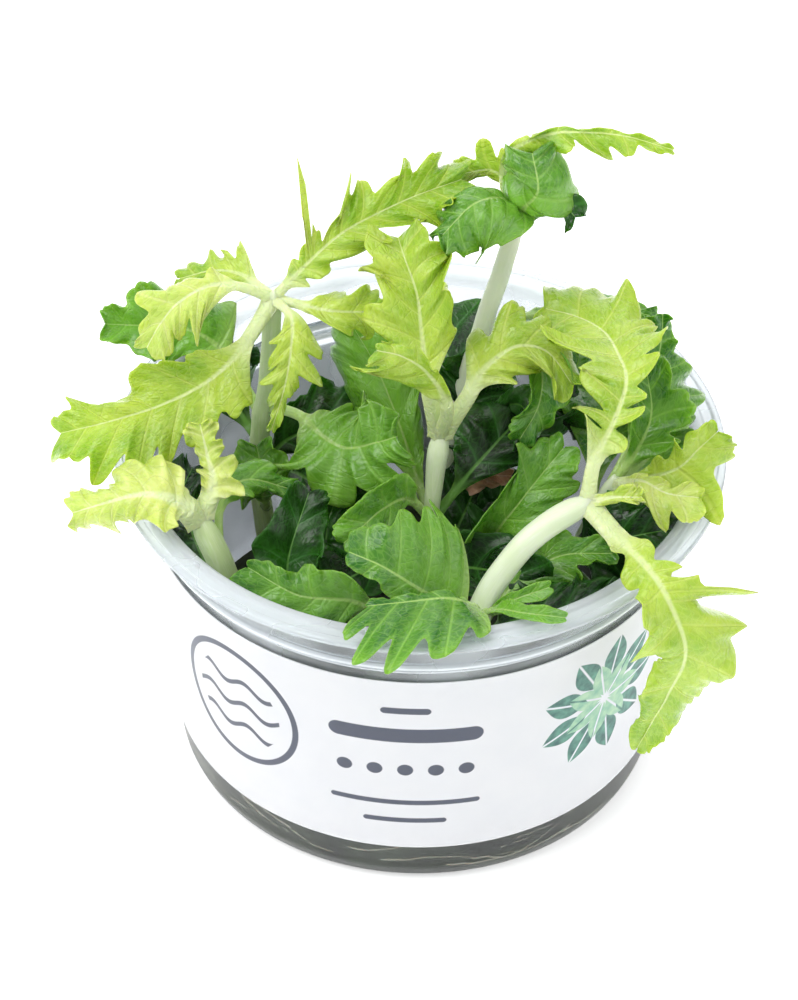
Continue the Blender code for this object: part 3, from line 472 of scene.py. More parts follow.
# sides, mm between rings, length of the bud, how much thicker a joint is and how long, and the tip's taper
stemForm = {"sides": 24, "ringGap": 0.7, "bud": 1.8, "swell": 0.12, "swellLong": 1.7,
            "taper": 2.2, "tip": 0.4}


def stemMaterial():
    # young water plant stem: smooth, juicy, white-green and faintly ribbed, lit through at its edges
    made, tree, shader = newMaterial("young_stem_grown")
    place = addNode(tree, "TexCoord", out="Object")
    green, turn, along = (addNode(tree, "Attribute", out="Fac", attribute_name=name)
                          for name in ("green", "round", "along"))
    streakAt = addNode(tree, "CombineXYZ", {0: turn, 1: along})
    stretched = addNode(tree, "VectorMath", {0: streakAt, 1: (4.0, 0.12, 0)}, operation="MULTIPLY")
    streaks = addNode(tree, "TexNoise", {"Vector": stretched, "Scale": 2.2, "Detail": 3.0})
    blotch = addNode(tree, "TexNoise", {"Vector": place, "Scale": 130.0, "Detail": 3.0})
    lit = addNode(tree, "MapRange", {"Value": streaks, "From Min": 0.5, "From Max": 0.75, "To Max": 0.5})
    dull = addNode(tree, "MapRange", {"Value": blotch, "From Min": 0.5, "From Max": 0.8, "To Max": 0.45})
    body = stemLook["pale"]
    for share, key in ((green, "green"), (lit, "ridge"), (dull, "shade")):
        body = addNode(tree, "Mix", {0: share, 6: body, 7: stemLook[key]}, **rgba)
    bump = addNode(tree, "Bump", {"Strength": 0.35, "Distance": 0.25 * mm, "Height": streaks})
    rough = addNode(tree, "MapRange", {"Value": blotch, "From Min": 0.3, "From Max": 0.7,
                                       "To Min": 0.28, "To Max": 0.45})
    tree.links.new(body, shader.inputs["Base Color"])
    tree.links.new(bump, shader.inputs["Normal"])
    tree.links.new(rough, shader.inputs["Roughness"])
    shader.inputs["Subsurface Weight"].default_value = 0.45
    shader.inputs["Subsurface Radius"].default_value = (0.9, 1.0, 0.6)
    shader.inputs["Subsurface Scale"].default_value = 1.6 * mm
    return made


stemFlesh = stemMaterial()


def growStem(name, stem):
    # a tall primitive cut into rings, then laid along the stem's path
    deselectAll()
    points = np.array(stem["points"], float)
    bud = points[-1] + unit(points[-1] - points[-2]) * stemForm["bud"]  # the tip ends between the stalks
    path, length = smoothPath(np.vstack([points, bud]), 400)
    rings = int(length / stemForm["ringGap"])
    bpy.ops.mesh.primitive_cylinder_add(vertices=stemForm["sides"], radius=mm, depth=2, location=(0, 0, 0))
    piece = bpy.context.object
    piece.name = "wisteria_" + name
    mesh = piece.data
    bpy.ops.object.mode_set(mode="EDIT")
    bpy.ops.mesh.select_mode(type="EDGE")
    bpy.ops.mesh.select_all(action="DESELECT")
    bpy.ops.object.mode_set(mode="OBJECT")
    for edge in mesh.edges:
        low, high = (mesh.vertices[i].co.z for i in edge.vertices)
        edge.select = abs(low - high) > 1
    bpy.ops.object.mode_set(mode="EDIT")
    bpy.ops.mesh.subdivide(number_cuts=rings)
    bpy.ops.object.mode_set(mode="OBJECT")
    spots = np.empty(len(mesh.vertices) * 3)
    mesh.vertices.foreach_get("co", spots)
    spots = spots.reshape(-1, 3)
    share = np.clip((spots[:, 2] + 1) / 2, 0, 1)
    angle = np.arctan2(spots[:, 1], spots[:, 0])
    at = share * (len(path) - 1)
    low = np.clip(at.astype(int), 0, len(path) - 2)
    here = path[low] + (path[low + 1] - path[low]) * (at - low)[:, None]
    along = unit(path[np.clip(low + 6, 0, len(path) - 1)] - path[np.clip(low - 5, 0, len(path) - 1)])
    side = unit(np.cross(along, [0.0, 1.0, 0.15]))
    front = np.cross(side, along)
    foot, top = stem["thick"]
    radius = foot + (top - foot) * share ** stem.get("widens", 1)
    for spot in stem["nodes"]:  # a joint in the stem is a little thicker
        bulge = np.exp(-((share - spot) * length / stemForm["swellLong"]) ** 2)
        radius = radius * (1 + stemForm["swell"] * bulge)
    # faintly square and uneven
    radius = radius * (1 + 0.05 * np.cos(4 * angle + share * 2) + 0.02 * np.sin(share * length * 0.7 + angle))
    left = (1 - share) * length
    radius = radius * (1 - 0.75 * np.exp(-(left / stemForm["taper"]) ** 1.5))
    radius = radius * np.sqrt(np.clip(left / stemForm["tip"], 0.02, 1))
    place = here + (side * np.cos(angle)[:, None] + front * np.sin(angle)[:, None]) * radius[:, None]
    mesh.vertices.foreach_set("co", (place * mm).ravel())
    green = np.interp(share, [0, 1], stem["green"])
    for key, values in (("green", green), ("round", np.sin(angle) * 3), ("along", share * length)):
        mesh.attributes.new(key, "FLOAT", "POINT").data.foreach_set("value", values.astype(np.float32))
    bpy.ops.object.mode_set(mode="EDIT")
    bpy.ops.mesh.select_all(action="SELECT")
    bpy.ops.mesh.normals_make_consistent(inside=False)
    bpy.ops.object.mode_set(mode="OBJECT")
    bpy.ops.object.shade_smooth()
    setPiece(piece, stemFlesh, "stem", name)


growStem("stem_front_right", dict(
    thick=(2.5, 1.9), nodes=[0.55], green=(0.1, 0.3),
    points=[(5, -24, 5), (7, -29, 30), (9, -33, 52), (13, -31, 61), (19, -28, 67), (26, -24, 69)]))
growStem("stem_centre", dict(
    thick=(0.8, 2.2), nodes=[], green=(0.9, 0.4), widens=4,
    points=[(0, -4, 5), (2, -6, 35), (2, -7, 53), (3, -5, 66)]))
growStem("stem_tall_back", dict(
    thick=(1.8, 1.6), nodes=[0.5], green=(0.3, 0.0),
    points=[(4, 7, 5), (5, 9, 50), (9.5, 12.5, 73), (13, 16.5, 84), (15, 19, 91)]))
growStem("stem_left_back", dict(
    thick=(1.8, 1.5), nodes=[0.68], green=(1.0, 0.5),
    points=[(-22, 6, 5), (-27, 8, 45), (-25, 8, 69), (-24, 8, 84)]))
growStem("stem_left_low", dict(
    thick=(2.3, 2.0), nodes=[0.6], green=(1.0, 0.7),
    points=[(-20, -15, 5), (-28, -21, 38), (-32, -22, 54), (-35, -20, 61)]))
growStem("stem_right", dict(
    thick=(1.7, 1.4), nodes=[0.65], green=(0.6, 0.4),
    points=[(17, -4, 5), (25, -7, 40), (31, -9, 60)]))
growStem("stem_front_left", dict(
    thick=(1.7, 1.4), nodes=[0.6], green=(0.5, 0.5),
    points=[(-6, -20, 5), (-7, -26, 36), (-4, -31, 51)]))
print("stems done")


# The leaves

# deep and light: the blade's darkest and palest green; edge: its rim, painted paler as a glow of light
# through the thin margin; vein, rib and stalk: the pale lines
# wet and rough: roughness where the skin is wet and where it isn't; glow: how much light the blade lets in
leafLooks = {
    "pale": dict(deep="#9cc034", light="#d4e47c", edge="#c4dc5c", vein="#dbe998", rib="#e2eeb0",
                 stalk="#d9e8ac", wet=0.2, rough=0.42, glow=0.5, coat=0.3, bump=0.6),
    "young": dict(deep="#77a51a", light="#bdd352", edge="#a9c93c", vein="#c6da6c", rib="#d6e59a",
                  stalk="#d8e6ac", wet=0.16, rough=0.4, glow=0.45, coat=0.35, bump=0.6),
    "mid": dict(deep="#296b10", light="#7ab13a", edge="#6fa432", vein="#8aba50", rib="#a4c86c",
                stalk="#b0ce7c", wet=0.12, rough=0.36, glow=0.4, coat=0.35, bump=0.5),
    # the dark tone's near-black deep green is partly painted shade, for the leaves deep in the cup
    "dark": dict(deep="#0a2904", light="#2f6a1a", edge="#2a6214", vein="#37722a", rib="#5f9040",
                 stalk="#6c9a48", wet=0.14, rough=0.36, glow=0.2, coat=0.1, bump=0.25),
    "faded": dict(deep="#a0674a", light="#d9a88c", edge="#e0b49a", vein="#dcae94", rib="#e3c2aa",
                  stalk="#d8b890", wet=0.2, rough=0.45, glow=0.3, coat=0.1, bump=0.4),
}
leafFacts = ("along", "across", "rib", "gap", "share", "blade", "age")  # what each vertex tells the finish


def leafMaterial(tone):
    # water wisteria blade, grown under water: thin and juicy, lit through, paler veins and a wet skin
    look = leafLooks[tone]
    made, tree, shader = newMaterial(tone + "_wisteria_leaf_grown")
    place = addNode(tree, "TexCoord", out="Object")
    along, across, rib, gap, share, blade, age = (
        addNode(tree, "Attribute", out="Fac", attribute_name=name) for name in leafFacts)
    away = addNode(tree, "Math", {0: across}, operation="ABSOLUTE")
    # branch veins leave the side veins at a slant, 2.3 mm apart
    slant = addNode(tree, "Math", {0: gap, 1: -0.85, 2: away}, operation="MULTIPLY_ADD")
    sway = addNode(tree, "TexNoise", {"Vector": place, "Scale": 220.0, "Detail": 2.0})
    slant = addNode(tree, "Math", {0: sway, 1: 1.6, 2: slant}, operation="MULTIPLY_ADD")
    branch = addNode(tree, "Math", {0: slant, 1: 1.15}, operation="PINGPONG")
    # the net of the finest veins, cells about 1 mm wide
    flat = addNode(tree, "CombineXYZ", {0: along, 1: across})
    net = addNode(tree, "TexVoronoi", {"Vector": flat, "Scale": 0.95}, feature="DISTANCE_TO_EDGE")
    # each line is full up to one distance from its middle and gone at another
    veinWide = addNode(tree, "MapRange", {"Value": share, "To Min": 0.42, "To Max": 0.2})
    reach = ((rib, 0.3, 1.2), (gap, 0.04, veinWide), (branch, 0.0, 0.16), (net, 0.0, 0.11))
    ribLine, veinLine, branchLine, netLine = (
        addNode(tree, "MapRange", {"Value": far, "From Min": full, "From Max": gone,
                                   "To Min": 1.0, "To Max": 0.0}, interpolation_type="SMOOTHSTEP")
        for far, full, gone in reach)
    offRib = addNode(tree, "MapRange", {"Value": away, "From Min": 0.8, "From Max": 2.0})
    branchLine = addNode(tree, "Math", {0: branchLine, 1: offRib}, operation="MULTIPLY")
    lines = addNode(tree, "Math", {0: netLine, 1: 0.28}, operation="MULTIPLY")
    for line, strength in ((branchLine, 0.35), (veinLine, 0.6)):
        line = addNode(tree, "Math", {0: line, 1: strength}, operation="MULTIPLY")
        lines = addNode(tree, "Math", {0: lines, 1: line}, operation="MAXIMUM")
    patch = addNode(tree, "TexNoise", {"Vector": place, "Scale": 95.0, "Detail": 4.0, "Roughness": 0.6})
    patch = addNode(tree, "MapRange", {"Value": patch, "From Min": 0.3, "From Max": 0.7,
                                       "To Min": -0.45, "To Max": 0.45})
    tint = addNode(tree, "Math", {0: patch, 1: age}, operation="ADD", use_clamp=True)
    halo = addNode(tree, "MapRange", {"Value": gap, "From Max": 1.6, "To Min": 0.4, "To Max": 0.0})
    # painted glow of light through the thin margin: the rim is mixed towards the paler edge green
    rim = addNode(tree, "MapRange", {"Value": share, "From Min": 0.72, "To Max": 0.65},
                  interpolation_type="SMOOTHSTEP")
    colour = look["light"]
    for part, key in ((tint, "deep"), (halo, "light"), (rim, "edge"), (lines, "vein"), (ribLine, "rib")):
        colour = addNode(tree, "Mix", {0: part, 6: colour, 7: look[key]}, **rgba)
    colour = addNode(tree, "Mix", {0: blade, 6: look["stalk"], 7: colour}, **rgba)
    # wet where the noise is high, softer elsewhere
    gloss = addNode(tree, "TexNoise", {"Vector": place, "Scale": 150.0, "Detail": 3.0})
    rough = addNode(tree, "MapRange", {"Value": gloss, "From Min": 0.4, "From Max": 0.6,
                                       "To Min": look["rough"], "To Max": look["wet"]})
    # the skin bulges between the veins
    grain = addNode(tree, "TexNoise", {"Vector": place, "Scale": 900.0, "Detail": 2.0})
    dome = addNode(tree, "Math", {0: net, 1: 1.5}, operation="MULTIPLY")
    for part, height in ((branchLine, -0.5), (veinLine, -0.8), (grain, 0.35)):
        dome = addNode(tree, "Math", {0: part, 1: height, 2: dome}, operation="MULTIPLY_ADD")
    bump = addNode(tree, "Bump", {"Strength": look["bump"], "Distance": 0.34 * mm, "Height": dome})
    tree.links.new(colour, shader.inputs["Base Color"])
    tree.links.new(rough, shader.inputs["Roughness"])
    tree.links.new(bump, shader.inputs["Normal"])
    shader.inputs["IOR"].default_value = 1.42
    shader.inputs["Subsurface Weight"].default_value = look["glow"]
    shader.inputs["Subsurface Radius"].default_value = (0.8, 1.0, 0.2)
    shader.inputs["Subsurface Scale"].default_value = 1.2 * mm
    shader.inputs["Coat Weight"].default_value = look["coat"]
    shader.inputs["Coat Roughness"].default_value = 0.08
    return made


leafSkins = {tone: leafMaterial(tone) for tone in leafLooks}

# what a leaf has where its own dictionary says nothing else
usualLeaf = dict(
    tone="mid",
    stalk=(0.3, 0.9),  # where the blade starts along the midrib, and the stalk's half width in mm
    cut=(0.1, 0.1), cutShare=0.85, narrow=3.5,  # depth of the cuts at foot and tip, and how slim they are
    full=1.12, teeth=0.12,  # width between the cuts, and depth of the small teeth
    sweep=(60, 40),  # degrees between the midrib and the side veins, at foot and tip
    face=[(0, -0.8, 0.6)],  # where the blade's upper side looks, at foot and tip
    fold=5, curl=20, unrest=22, stray=12,  # degrees: sides up, rims down, spread of the lobes up and along
    quilt=0.75, ruffle=0.8, waves=1,  # mm that the blade bulges and its rim waves, and waves to a lobe
    age=0.5, spacing=0.25)  # how deep the green is, and mm between rows of the mesh
# every leaf: mm between steps across it, fewest and most rows and steps, thickness of the rim in mm,
# what the blade adds to it, and the midrib's height over its half width
leafForm = {"stepGap": 0.7, "rows": (50, 170), "steps": (7, 16), "rim": 0.14, "blade": 0.16, "ribHigh": 1.35}


def mixed(pair, u):
    return pair[0] + (pair[1] - pair[0]) * u


def reachAndLobe(leaf, lobes, u, rng):
    # how far the blade goes to one side at place u, and which lobe that place belongs to
    stalk, half = leaf["stalk"]
    places = np.array([stalk] + [place for place, _ in lobes] + [1.0])
    fars = np.array([half] + [far for _, far in lobes] + [0.3])
    k = np.clip(np.searchsorted(places, u, side="right") - 1, 0, len(places) - 2)
    x = np.clip((u - places[k]) / (places[k + 1] - places[k]), 0, 1)
    end = k == len(places) - 2
    # no two cuts are alike: each has its own place, depth and width, and its own small teeth
    ranges = ((0.34, 0.6), (0.75, 1.25), (0.9, 1.9), (0.2, 1.3))
    middle, strength, slim, bite = (rng.uniform(low, high, len(places))[k] for low, high in ranges)
    count = rng.choice((1, 2, 2, 3), len(places))[k]
    deep = leaf["cutShare"] * mixed(leaf["cut"], u) * strength * np.where(end, 0.3, 1.0)
    plain = fars[k] + (fars[k + 1] - fars[k]) * np.where(k == 0, x * x, x)
    plain = np.where(end, fars[k] * (1 - x ** 2) ** 0.6 + 0.3 * x, plain)  # blunt end
    bent = x ** (math.log(0.5) / np.log(middle))
    notch = 1 - np.minimum(deep, 0.9) * np.abs(np.sin(np.pi * bent)) ** (leaf["narrow"] * slim)
    full = 1 + (leaf["full"] - 1) * np.clip((u - stalk) / 0.15, 0, 1)
    far = plain * full * np.where(k == 0, 1.0, notch)
    tooth = np.abs(np.cos(np.pi * count * x ** 0.9)) ** 0.6  # round tips, sharp little cuts
    far = far * (1 - leaf["teeth"] * bite * (1 - tooth) * np.where(k == 0, x, 1.0) * np.minimum(1, far / 3))
    far = np.where(u <= stalk, half, np.maximum(far, 0.3))
    return far, k + x


def growLeaf(name, given, inCad=True):
    # a fine grid primitive laid along the midrib, then given a thick rib and thin rims by Solidify
    deselectAll()
    name = "leaf_" + name
    leaf = {**usualLeaf, "right": given["left"], **given}
    rng = np.random.RandomState(sum(map(ord, name)) % 1000)
    path, length = smoothPath(leaf["rib"], 300)
    fewest, most = leafForm["rows"]
    rows = int(min(most, max(fewest, length / leaf["spacing"])))
    u = np.linspace(0, 1, rows + 1)
    tips = sorted({place for place, _ in leaf["left"] + leaf["right"]} | {leaf["stalk"][0]})
    for tip in tips:  # a row on every vein
        u = u[(np.abs(u - tip) > 0.45 / rows) | (u == 0) | (u == 1)]
    u = np.sort(np.concatenate([u, tips]))
    widest = max(far for _, far in leaf["left"] + leaf["right"])
    fewest, most = leafForm["steps"]
    half = int(min(most, max(fewest, widest / leafForm["stepGap"] + 3)))
    at = u * (len(path) - 1)
    low = np.clip(at.astype(int), 0, len(path) - 2)
    here = path[low] + (path[low + 1] - path[low]) * (at - low)[:, None]
    ahead, behind = np.clip(low + 12, 0, len(path) - 1), np.clip(low - 10, 0, len(path) - 1)
    along = unit(path[ahead] - path[behind])
    start, stop = (np.array(leaf["face"][i], float) for i in (0, -1))
    face = start * (1 - u)[:, None] + stop * u[:, None]
    up = unit(face - (face * along).sum(1, keepdims=True) * along)
    side = np.cross(along, up)
    swing = np.radians(mixed(leaf["sweep"], u))
    stalk, stalkHalf = leaf["stalk"]
    fine = 0.12 + 0.42 * stalkHalf * np.clip((1 - u) / (1 - stalk), 0, 1) ** 1.2  # slimmer towards the tip
    ribHalf = fine + (stalkHalf - fine) * np.exp(-np.clip(u - stalk, 0, 1) * length / 2.5)
    onBlade = np.clip((u - stalk) / 0.12, 0, 1)
    rowsOut, halves = [], []
    phase = rng.uniform(0, 6.28, 4)
    ageHere = leaf["age"] + rng.uniform(-0.08, 0.08)
    for sign, lobes in ((-1, leaf["left"]), (1, leaf["right"])):
        far, lobe = reachAndLobe(leaf, lobes, u, rng)
        far = far * (1 + 0.35 * np.exp(-u * length / 1.6))  # clasps the stem's end
        lift = np.concatenate([[0], rng.normal(0, leaf["unrest"], len(lobes)), [0]])
        tilt = np.interp(lobe, np.arange(len(lift)), lift)
        turn = np.concatenate([[0], rng.normal(0, leaf["stray"], len(lobes)), [0]])
        turn = np.interp(lobe, np.arange(len(turn)), turn)
        tipAt = np.array([place for place, _ in lobes])
        gap = np.abs(u[:, None] - tipAt[None]).min(1) * length
        second = np.minimum(1.1 * ribHalf, 0.9 * far)
        steps = np.linspace(0, 1, half - 1) ** 0.95
        d = np.concatenate([np.zeros((len(u), 1)), 0.55 * second[:, None],
                            second[:, None] + (far - second)[:, None] * steps[None]], axis=1)
        s = d / far[:, None]
        rise = np.radians(leaf["fold"] - 0.5 * leaf["curl"] * d / widest + tilt[:, None] * s ** 1.5)
        angle = swing[:, None] + np.radians(turn)[:, None] * s
        out = along[:, None] * np.cos(angle)[..., None] + side[:, None] * (sign * np.sin(angle))[..., None]
        between = 0.5 - 0.5 * np.cos(2 * np.pi * lobe)[:, None]
        wide = np.minimum(1, far / 6)[:, None] * onBlade[:, None]
        inRib = np.clip(1 - (d / ribHalf[:, None]) ** 2, 0, 1) ** 0.5
        relief = leaf["quilt"] * between * np.sin(np.pi * s) * wide
        swell = np.interp(lobe, np.arange(len(lobes) + 2), rng.uniform(0.4, 1.6, len(lobes) + 2))
        frill = swell * np.sin(2 * np.pi * lobe * leaf["waves"] + phase[0])
        crimp = 0.3 * np.sin(2 * np.pi * u * length / 2.1 + phase[3]) * swell  # small waves, 2.1 mm long
        relief = relief + leaf["ruffle"] * s ** 2 * (frill + crimp)[:, None] * onBlade[:, None]
        sway = np.sin(u * length / 2.6 + phase[1])[:, None] * np.sin(d / 2.1 + phase[2])
        relief = relief + 0.5 * sway * wide * s
        relief = relief + 0.6 * ribHalf[:, None] * inRib * (1 - onBlade[:, None])  # a round stalk
        tilted = out * np.cos(rise)[..., None] + up[:, None] * np.sin(rise)[..., None]
        spot = here[:, None] + tilted * d[..., None]
        spot = spot + up[:, None] * relief[..., None]
        thick = leafForm["rim"] + leafForm["blade"] * (1 - s ** 3)
        thick = thick + leafForm["ribHigh"] * ribHalf[:, None] * inRib
        same = np.ones(d.shape[1])  # for what doesn't change across the leaf
        values = dict(along=(u * length)[:, None] * same, across=sign * d, rib=d / ribHalf[:, None],
                      gap=gap[:, None] * same, share=s, blade=onBlade[:, None] * same, thick=thick,
                      age=ageHere + 0.3 * (s - 0.5) + 0.4 * (u[:, None] - 0.5))
        rowsOut.append(spot if sign > 0 else spot[:, :0:-1])
        halves.append(values if sign > 0 else {key: value[:, :0:-1] for key, value in values.items()})
    spots = np.concatenate(rowsOut, axis=1)
    facts = {key: np.concatenate([half[key] for half in halves], axis=1).ravel() for key in halves[0]}
    bpy.ops.mesh.primitive_grid_add(x_subdivisions=spots.shape[1] - 1, y_subdivisions=len(u) - 1, size=1,
                                    location=(0, 0, 0))
    piece = bpy.context.object
    piece.name = "wisteria_" + name
    mesh = piece.data
    mesh.vertices.foreach_set("co", (spots.reshape(-1, 3) * mm).ravel())
    for key in leafFacts:
        mesh.attributes.new(key, "FLOAT", "POINT").data.foreach_set("value", facts[key].astype(np.float32))
    group = piece.vertex_groups.new(name="thick")
    most = facts["thick"].max()
    for i, value in enumerate(facts["thick"] / most):
        group.add([i], float(value), "REPLACE")
    solid = piece.modifiers.new("thick", "SOLIDIFY")
    solid.thickness = most * mm
    solid.offset = -1
    solid.vertex_group = "thick"
    applyModifiers(piece)
    piece.vertex_groups.clear()
    bpy.ops.object.shade_smooth()
    solids = [name] if inCad else []
    setPiece(piece, leafSkins[leaf["tone"]], "leaf_" + leaf.get("slot", leaf["tone"]), *solids)


growLeaf("right_arching", dict(
    tone="young", stalk=(0.12, 1.2), cut=(1.1, -0.1), sweep=(72, 60), fold=12, curl=50,
    face=[(0, -1, 0.4), (0, -0.3, 1)], full=1.2, narrow=2.5, teeth=0.08, ruffle=1.0, age=0.45,
    rib=[(26, -24, 69), (27, -21, 75), (30, -17, 80), (32, -11, 83), (31, -4, 83), (29, 3, 82), (25, 8, 81),
         (20, 10, 81)],
    left=[(0.2, 5), (0.28, 6), (0.36, 7), (0.45, 6), (0.58, 11), (0.7, 11), (0.8, 9), (0.9, 7)],
    right=[(0.22, 3), (0.3, 4), (0.38, 3), (0.47, 5), (0.56, 8), (0.66, 8), (0.76, 8), (0.88, 7)]))
growLeaf("right_hanging", dict(
    tone="young", stalk=(0.1, 1.8), cut=(1.0, -0.5), sweep=(84, 40), fold=8, curl=55,
    face=[(0.2, -0.4, 1), (0.1, -1, 0.2)], full=1.0, narrow=2.5, teeth=0.03, stray=3, ruffle=0.7, age=0.45,
    rib=[(26, -24, 69), (30, -29, 67), (35, -37, 67), (38, -42, 65), (41, -45, 57), (39, -44, 47),
         (37, -43, 40), (35, -42, 33)],
    left=[(0.2, 3), (0.3, 5), (0.345, 6), (0.372, 15), (0.4, 8), (0.47, 13), (0.57, 9), (0.7, 6), (0.83, 4),
          (0.94, 2.5)],
    right=[(0.17, 3.5), (0.26, 5), (0.36, 7), (0.46, 10), (0.55, 4.5), (0.7, 5), (0.86, 3)]))
growLeaf("right_bud", dict(
    tone="pale", stalk=(0.05, 1.2), cut=(0.2, 0.2), sweep=(40, 40), fold=20, curl=0, face=[(0, -0.6, 1)],
    rib=[(26, -24, 69), (30, -25, 71), (34, -26, 72)], left=[(0.7, 2.4), (0.86, 2)]))
growLeaf("right_inner", dict(
    tone="pale", stalk=(0.15, 0.9), cut=(0.6, 0.5), sweep=(66, 44), face=[(0, -0.7, 0.8)],
    rib=[(31, -9, 60), (35, -15, 66), (39, -18, 66), (44, -19, 66)], left=[(0.4, 2), (0.62, 2), (0.82, 3)],
    right=[(0.38, 5), (0.6, 7), (0.82, 5)]))
growLeaf("right_edge", dict(
    tone="young", stalk=(0.2, 0.9), cut=(0.5, 0.5), sweep=(80, 50), fold=10, curl=10,
    face=[(0.2, -0.8, 0.6)],
    rib=[(31, -9, 60), (36, -12, 64), (41, -13, 67), (44, -12, 70), (47, -10, 72)],
    left=[(0.42, 3), (0.58, 6), (0.82, 4)], right=[(0.42, 4), (0.6, 10), (0.84, 5)]))
growLeaf("back_right_dark", dict(
    slot="dark", stalk=(0.2, 0.9), cut=(0.3, 0.4), sweep=(70, 50), fold=10, curl=30,
    face=[(0.2, -0.6, 0.8), (0.3, -0.9, 0.4)], age=0.95,
    rib=[(31, -9, 60), (33, -6, 63), (36, -1, 67), (38, 5, 71), (39, 9, 76), (39, 10, 80)],
    left=[(0.45, 6), (0.64, 7), (0.84, 4)], right=[(0.38, 7), (0.5, 11), (0.66, 5), (0.84, 2)]))
growLeaf("back_right_lobed", dict(
    stalk=(0.15, 0.9), cut=(0.5, 0.5), sweep=(64, 40), fold=10, curl=30, face=[(0.1, -0.9, 0.5)],
    rib=[(31, -9, 60), (35, -7, 66), (37, -4, 71), (36, 0, 77)], left=[(0.4, 4), (0.65, 4), (0.85, 3)],
    right=[(0.38, 6), (0.6, 7), (0.82, 5)]))
growLeaf("right_olive", dict(
    stalk=(0.2, 0.9), cut=(0.3, 0.3), fold=10, face=[(0, -0.7, 0.8)],
    rib=[(31, -9, 60), (36, -4, 60), (40, 1, 62), (43, 6, 65)], left=[(0.4, 5), (0.65, 6), (0.85, 4)],
    right=[(0.4, 4), (0.65, 5), (0.85, 4)]))
growLeaf("centre_right_broad", dict(
    stalk=(0.25, 0.9), cut=(0.15, 0.25), sweep=(56, 36), fold=14, curl=25, face=[(0, -0.7, 0.7)],
    full=1.25, teeth=0.06, rib=[(2, -6, 38), (9, -10, 45), (14, -11, 54), (19, -9, 61), (23, -6, 65)],
    left=[(0.4, 6), (0.58, 8), (0.75, 7), (0.9, 4)]))
growLeaf("centre_right_mid", dict(
    stalk=(0.4, 0.9), cut=(0.3, 0.3), fold=10, curl=30, face=[(0, -0.7, 0.7), (0.3, -1, 0.4)],
    rib=[(6, 10, 58), (10, 9, 67), (15, 6, 76), (19, 2, 76), (19, -2, 71), (16, -5, 66)],
    left=[(0.52, 5), (0.68, 6), (0.86, 4)]))
growLeaf("inner_glossy", dict(
    tone="dark", sweep=(50, 36), fold=25, curl=60, face=[(0, -0.9, 0.4)],
    rib=[(5, 9, 50), (10, 7, 60), (15, 4, 66), (17, 0, 67), (16, -3, 62)],
    left=[(0.5, 3), (0.7, 4), (0.88, 2)]))
growLeaf("inner_faded", dict(
    tone="faded", fold=20, curl=40, rib=[(5, 8, 42), (8, 4, 48), (11, 2, 52), (15, 1, 53)],
    left=[(0.5, 2), (0.7, 3), (0.88, 2)]))
growLeaf("back_right_top", dict(
    slot="dark", cut=(0.4, 0.4), curl=30, face=[(0, -0.4, 1)], age=0.6,
    rib=[(8, 12, 73), (12, 14, 74), (17, 17, 74), (24, 21, 73), (31, 22, 73), (38, 20, 72)],
    left=[(0.45, 3), (0.6, 4), (0.75, 3), (0.9, 3)], right=[(0.45, 5), (0.62, 6), (0.78, 5), (0.9, 3)]))
growLeaf("centre_upright", dict(
    tone="young", stalk=(0.28, 1.6), cut=(0.5, 0.2), sweep=(64, 42), fold=12, curl=25,
    face=[(0, -1, 0.2), (0, -0.8, 0.8)], full=1.15, teeth=0.06, age=0.3,
    rib=[(3, -5, 66), (1, -5, 77), (0, -2, 84), (-1, 2, 90), (-3, 6, 94), (-4, 10, 95)],
    left=[(0.4, 7), (0.5, 9), (0.62, 11), (0.76, 8), (0.9, 6)],
    right=[(0.4, 6), (0.56, 12), (0.68, 8), (0.79, 7), (0.9, 5)]))
growLeaf("centre_to_right", dict(
    tone="young", stalk=(0.3, 1.6), cut=(0.5, 0.4), sweep=(64, 42), fold=8, curl=30,
    face=[(0, -1, 0.3), (0, -0.4, 1)],
    rib=[(3, -5, 66), (7, -4, 73), (10, -2, 78), (15, 0, 81), (20, 0, 80), (24, -3, 76)],
    left=[(0.42, 6), (0.55, 8), (0.68, 7), (0.84, 5)], right=[(0.4, 6), (0.52, 8), (0.68, 7), (0.84, 6)]))
growLeaf("centre_small", dict(
    tone="young", stalk=(0.35, 1.2), cut=(0.4, 0.4), sweep=(70, 50), face=[(0, -1, 0.2), (0, -1, 0.8)],
    rib=[(3, -5, 66), (4, -9, 76), (1, -11, 84), (-3, -13, 89), (-7, -14, 91)],
    left=[(0.5, 6), (0.65, 9), (0.8, 8), (0.92, 4)], right=[(0.55, 2), (0.75, 3), (0.9, 2)]))
growLeaf("top_long", dict(
    tone="young", stalk=(0.2, 0.9), cut=(0.8, 0.6), sweep=(95, 30), face=[(0, -1, 0), (0, -0.6, 0.8)],
    rib=[(15, 19, 91), (13, 20, 99), (14, 20, 105), (20, 19, 109), (26, 18, 110), (32, 17, 110),
         (39, 15, 109)], left=[(0.38, 1), (0.55, 1), (0.75, 1), (0.92, 1)],
    right=[(0.34, 3), (0.46, 7), (0.56, 3), (0.65, 6), (0.8, 3), (0.92, 2)]))
growLeaf("top_left", dict(
    tone="young", cut=(0.5, 0.5), face=[(0, -0.9, 0.5)],
    rib=[(15, 19, 91), (14, 22, 96), (11, 23, 99), (6, 22, 99)], left=[(0.5, 4), (0.68, 5), (0.86, 3)]))
growLeaf("top_dark", dict(
    slot="dark", stalk=(0.1, 1.0), cut=(0.2, 0.3), sweep=(84, 44), fold=4, curl=110,
    face=[(-0.2, -0.4, 1)], full=1.1, teeth=0.08, unrest=8, quilt=1.0, ruffle=1.0, age=0.6,
    rib=[(15, 19, 91), (13, 15, 99), (8, 11, 101), (3, 8, 97)],
    left=[(0.28, 7), (0.42, 9), (0.56, 9), (0.7, 8), (0.84, 6), (0.94, 4)],
    right=[(0.3, 6), (0.46, 7), (0.62, 7), (0.8, 6), (0.92, 4)]))
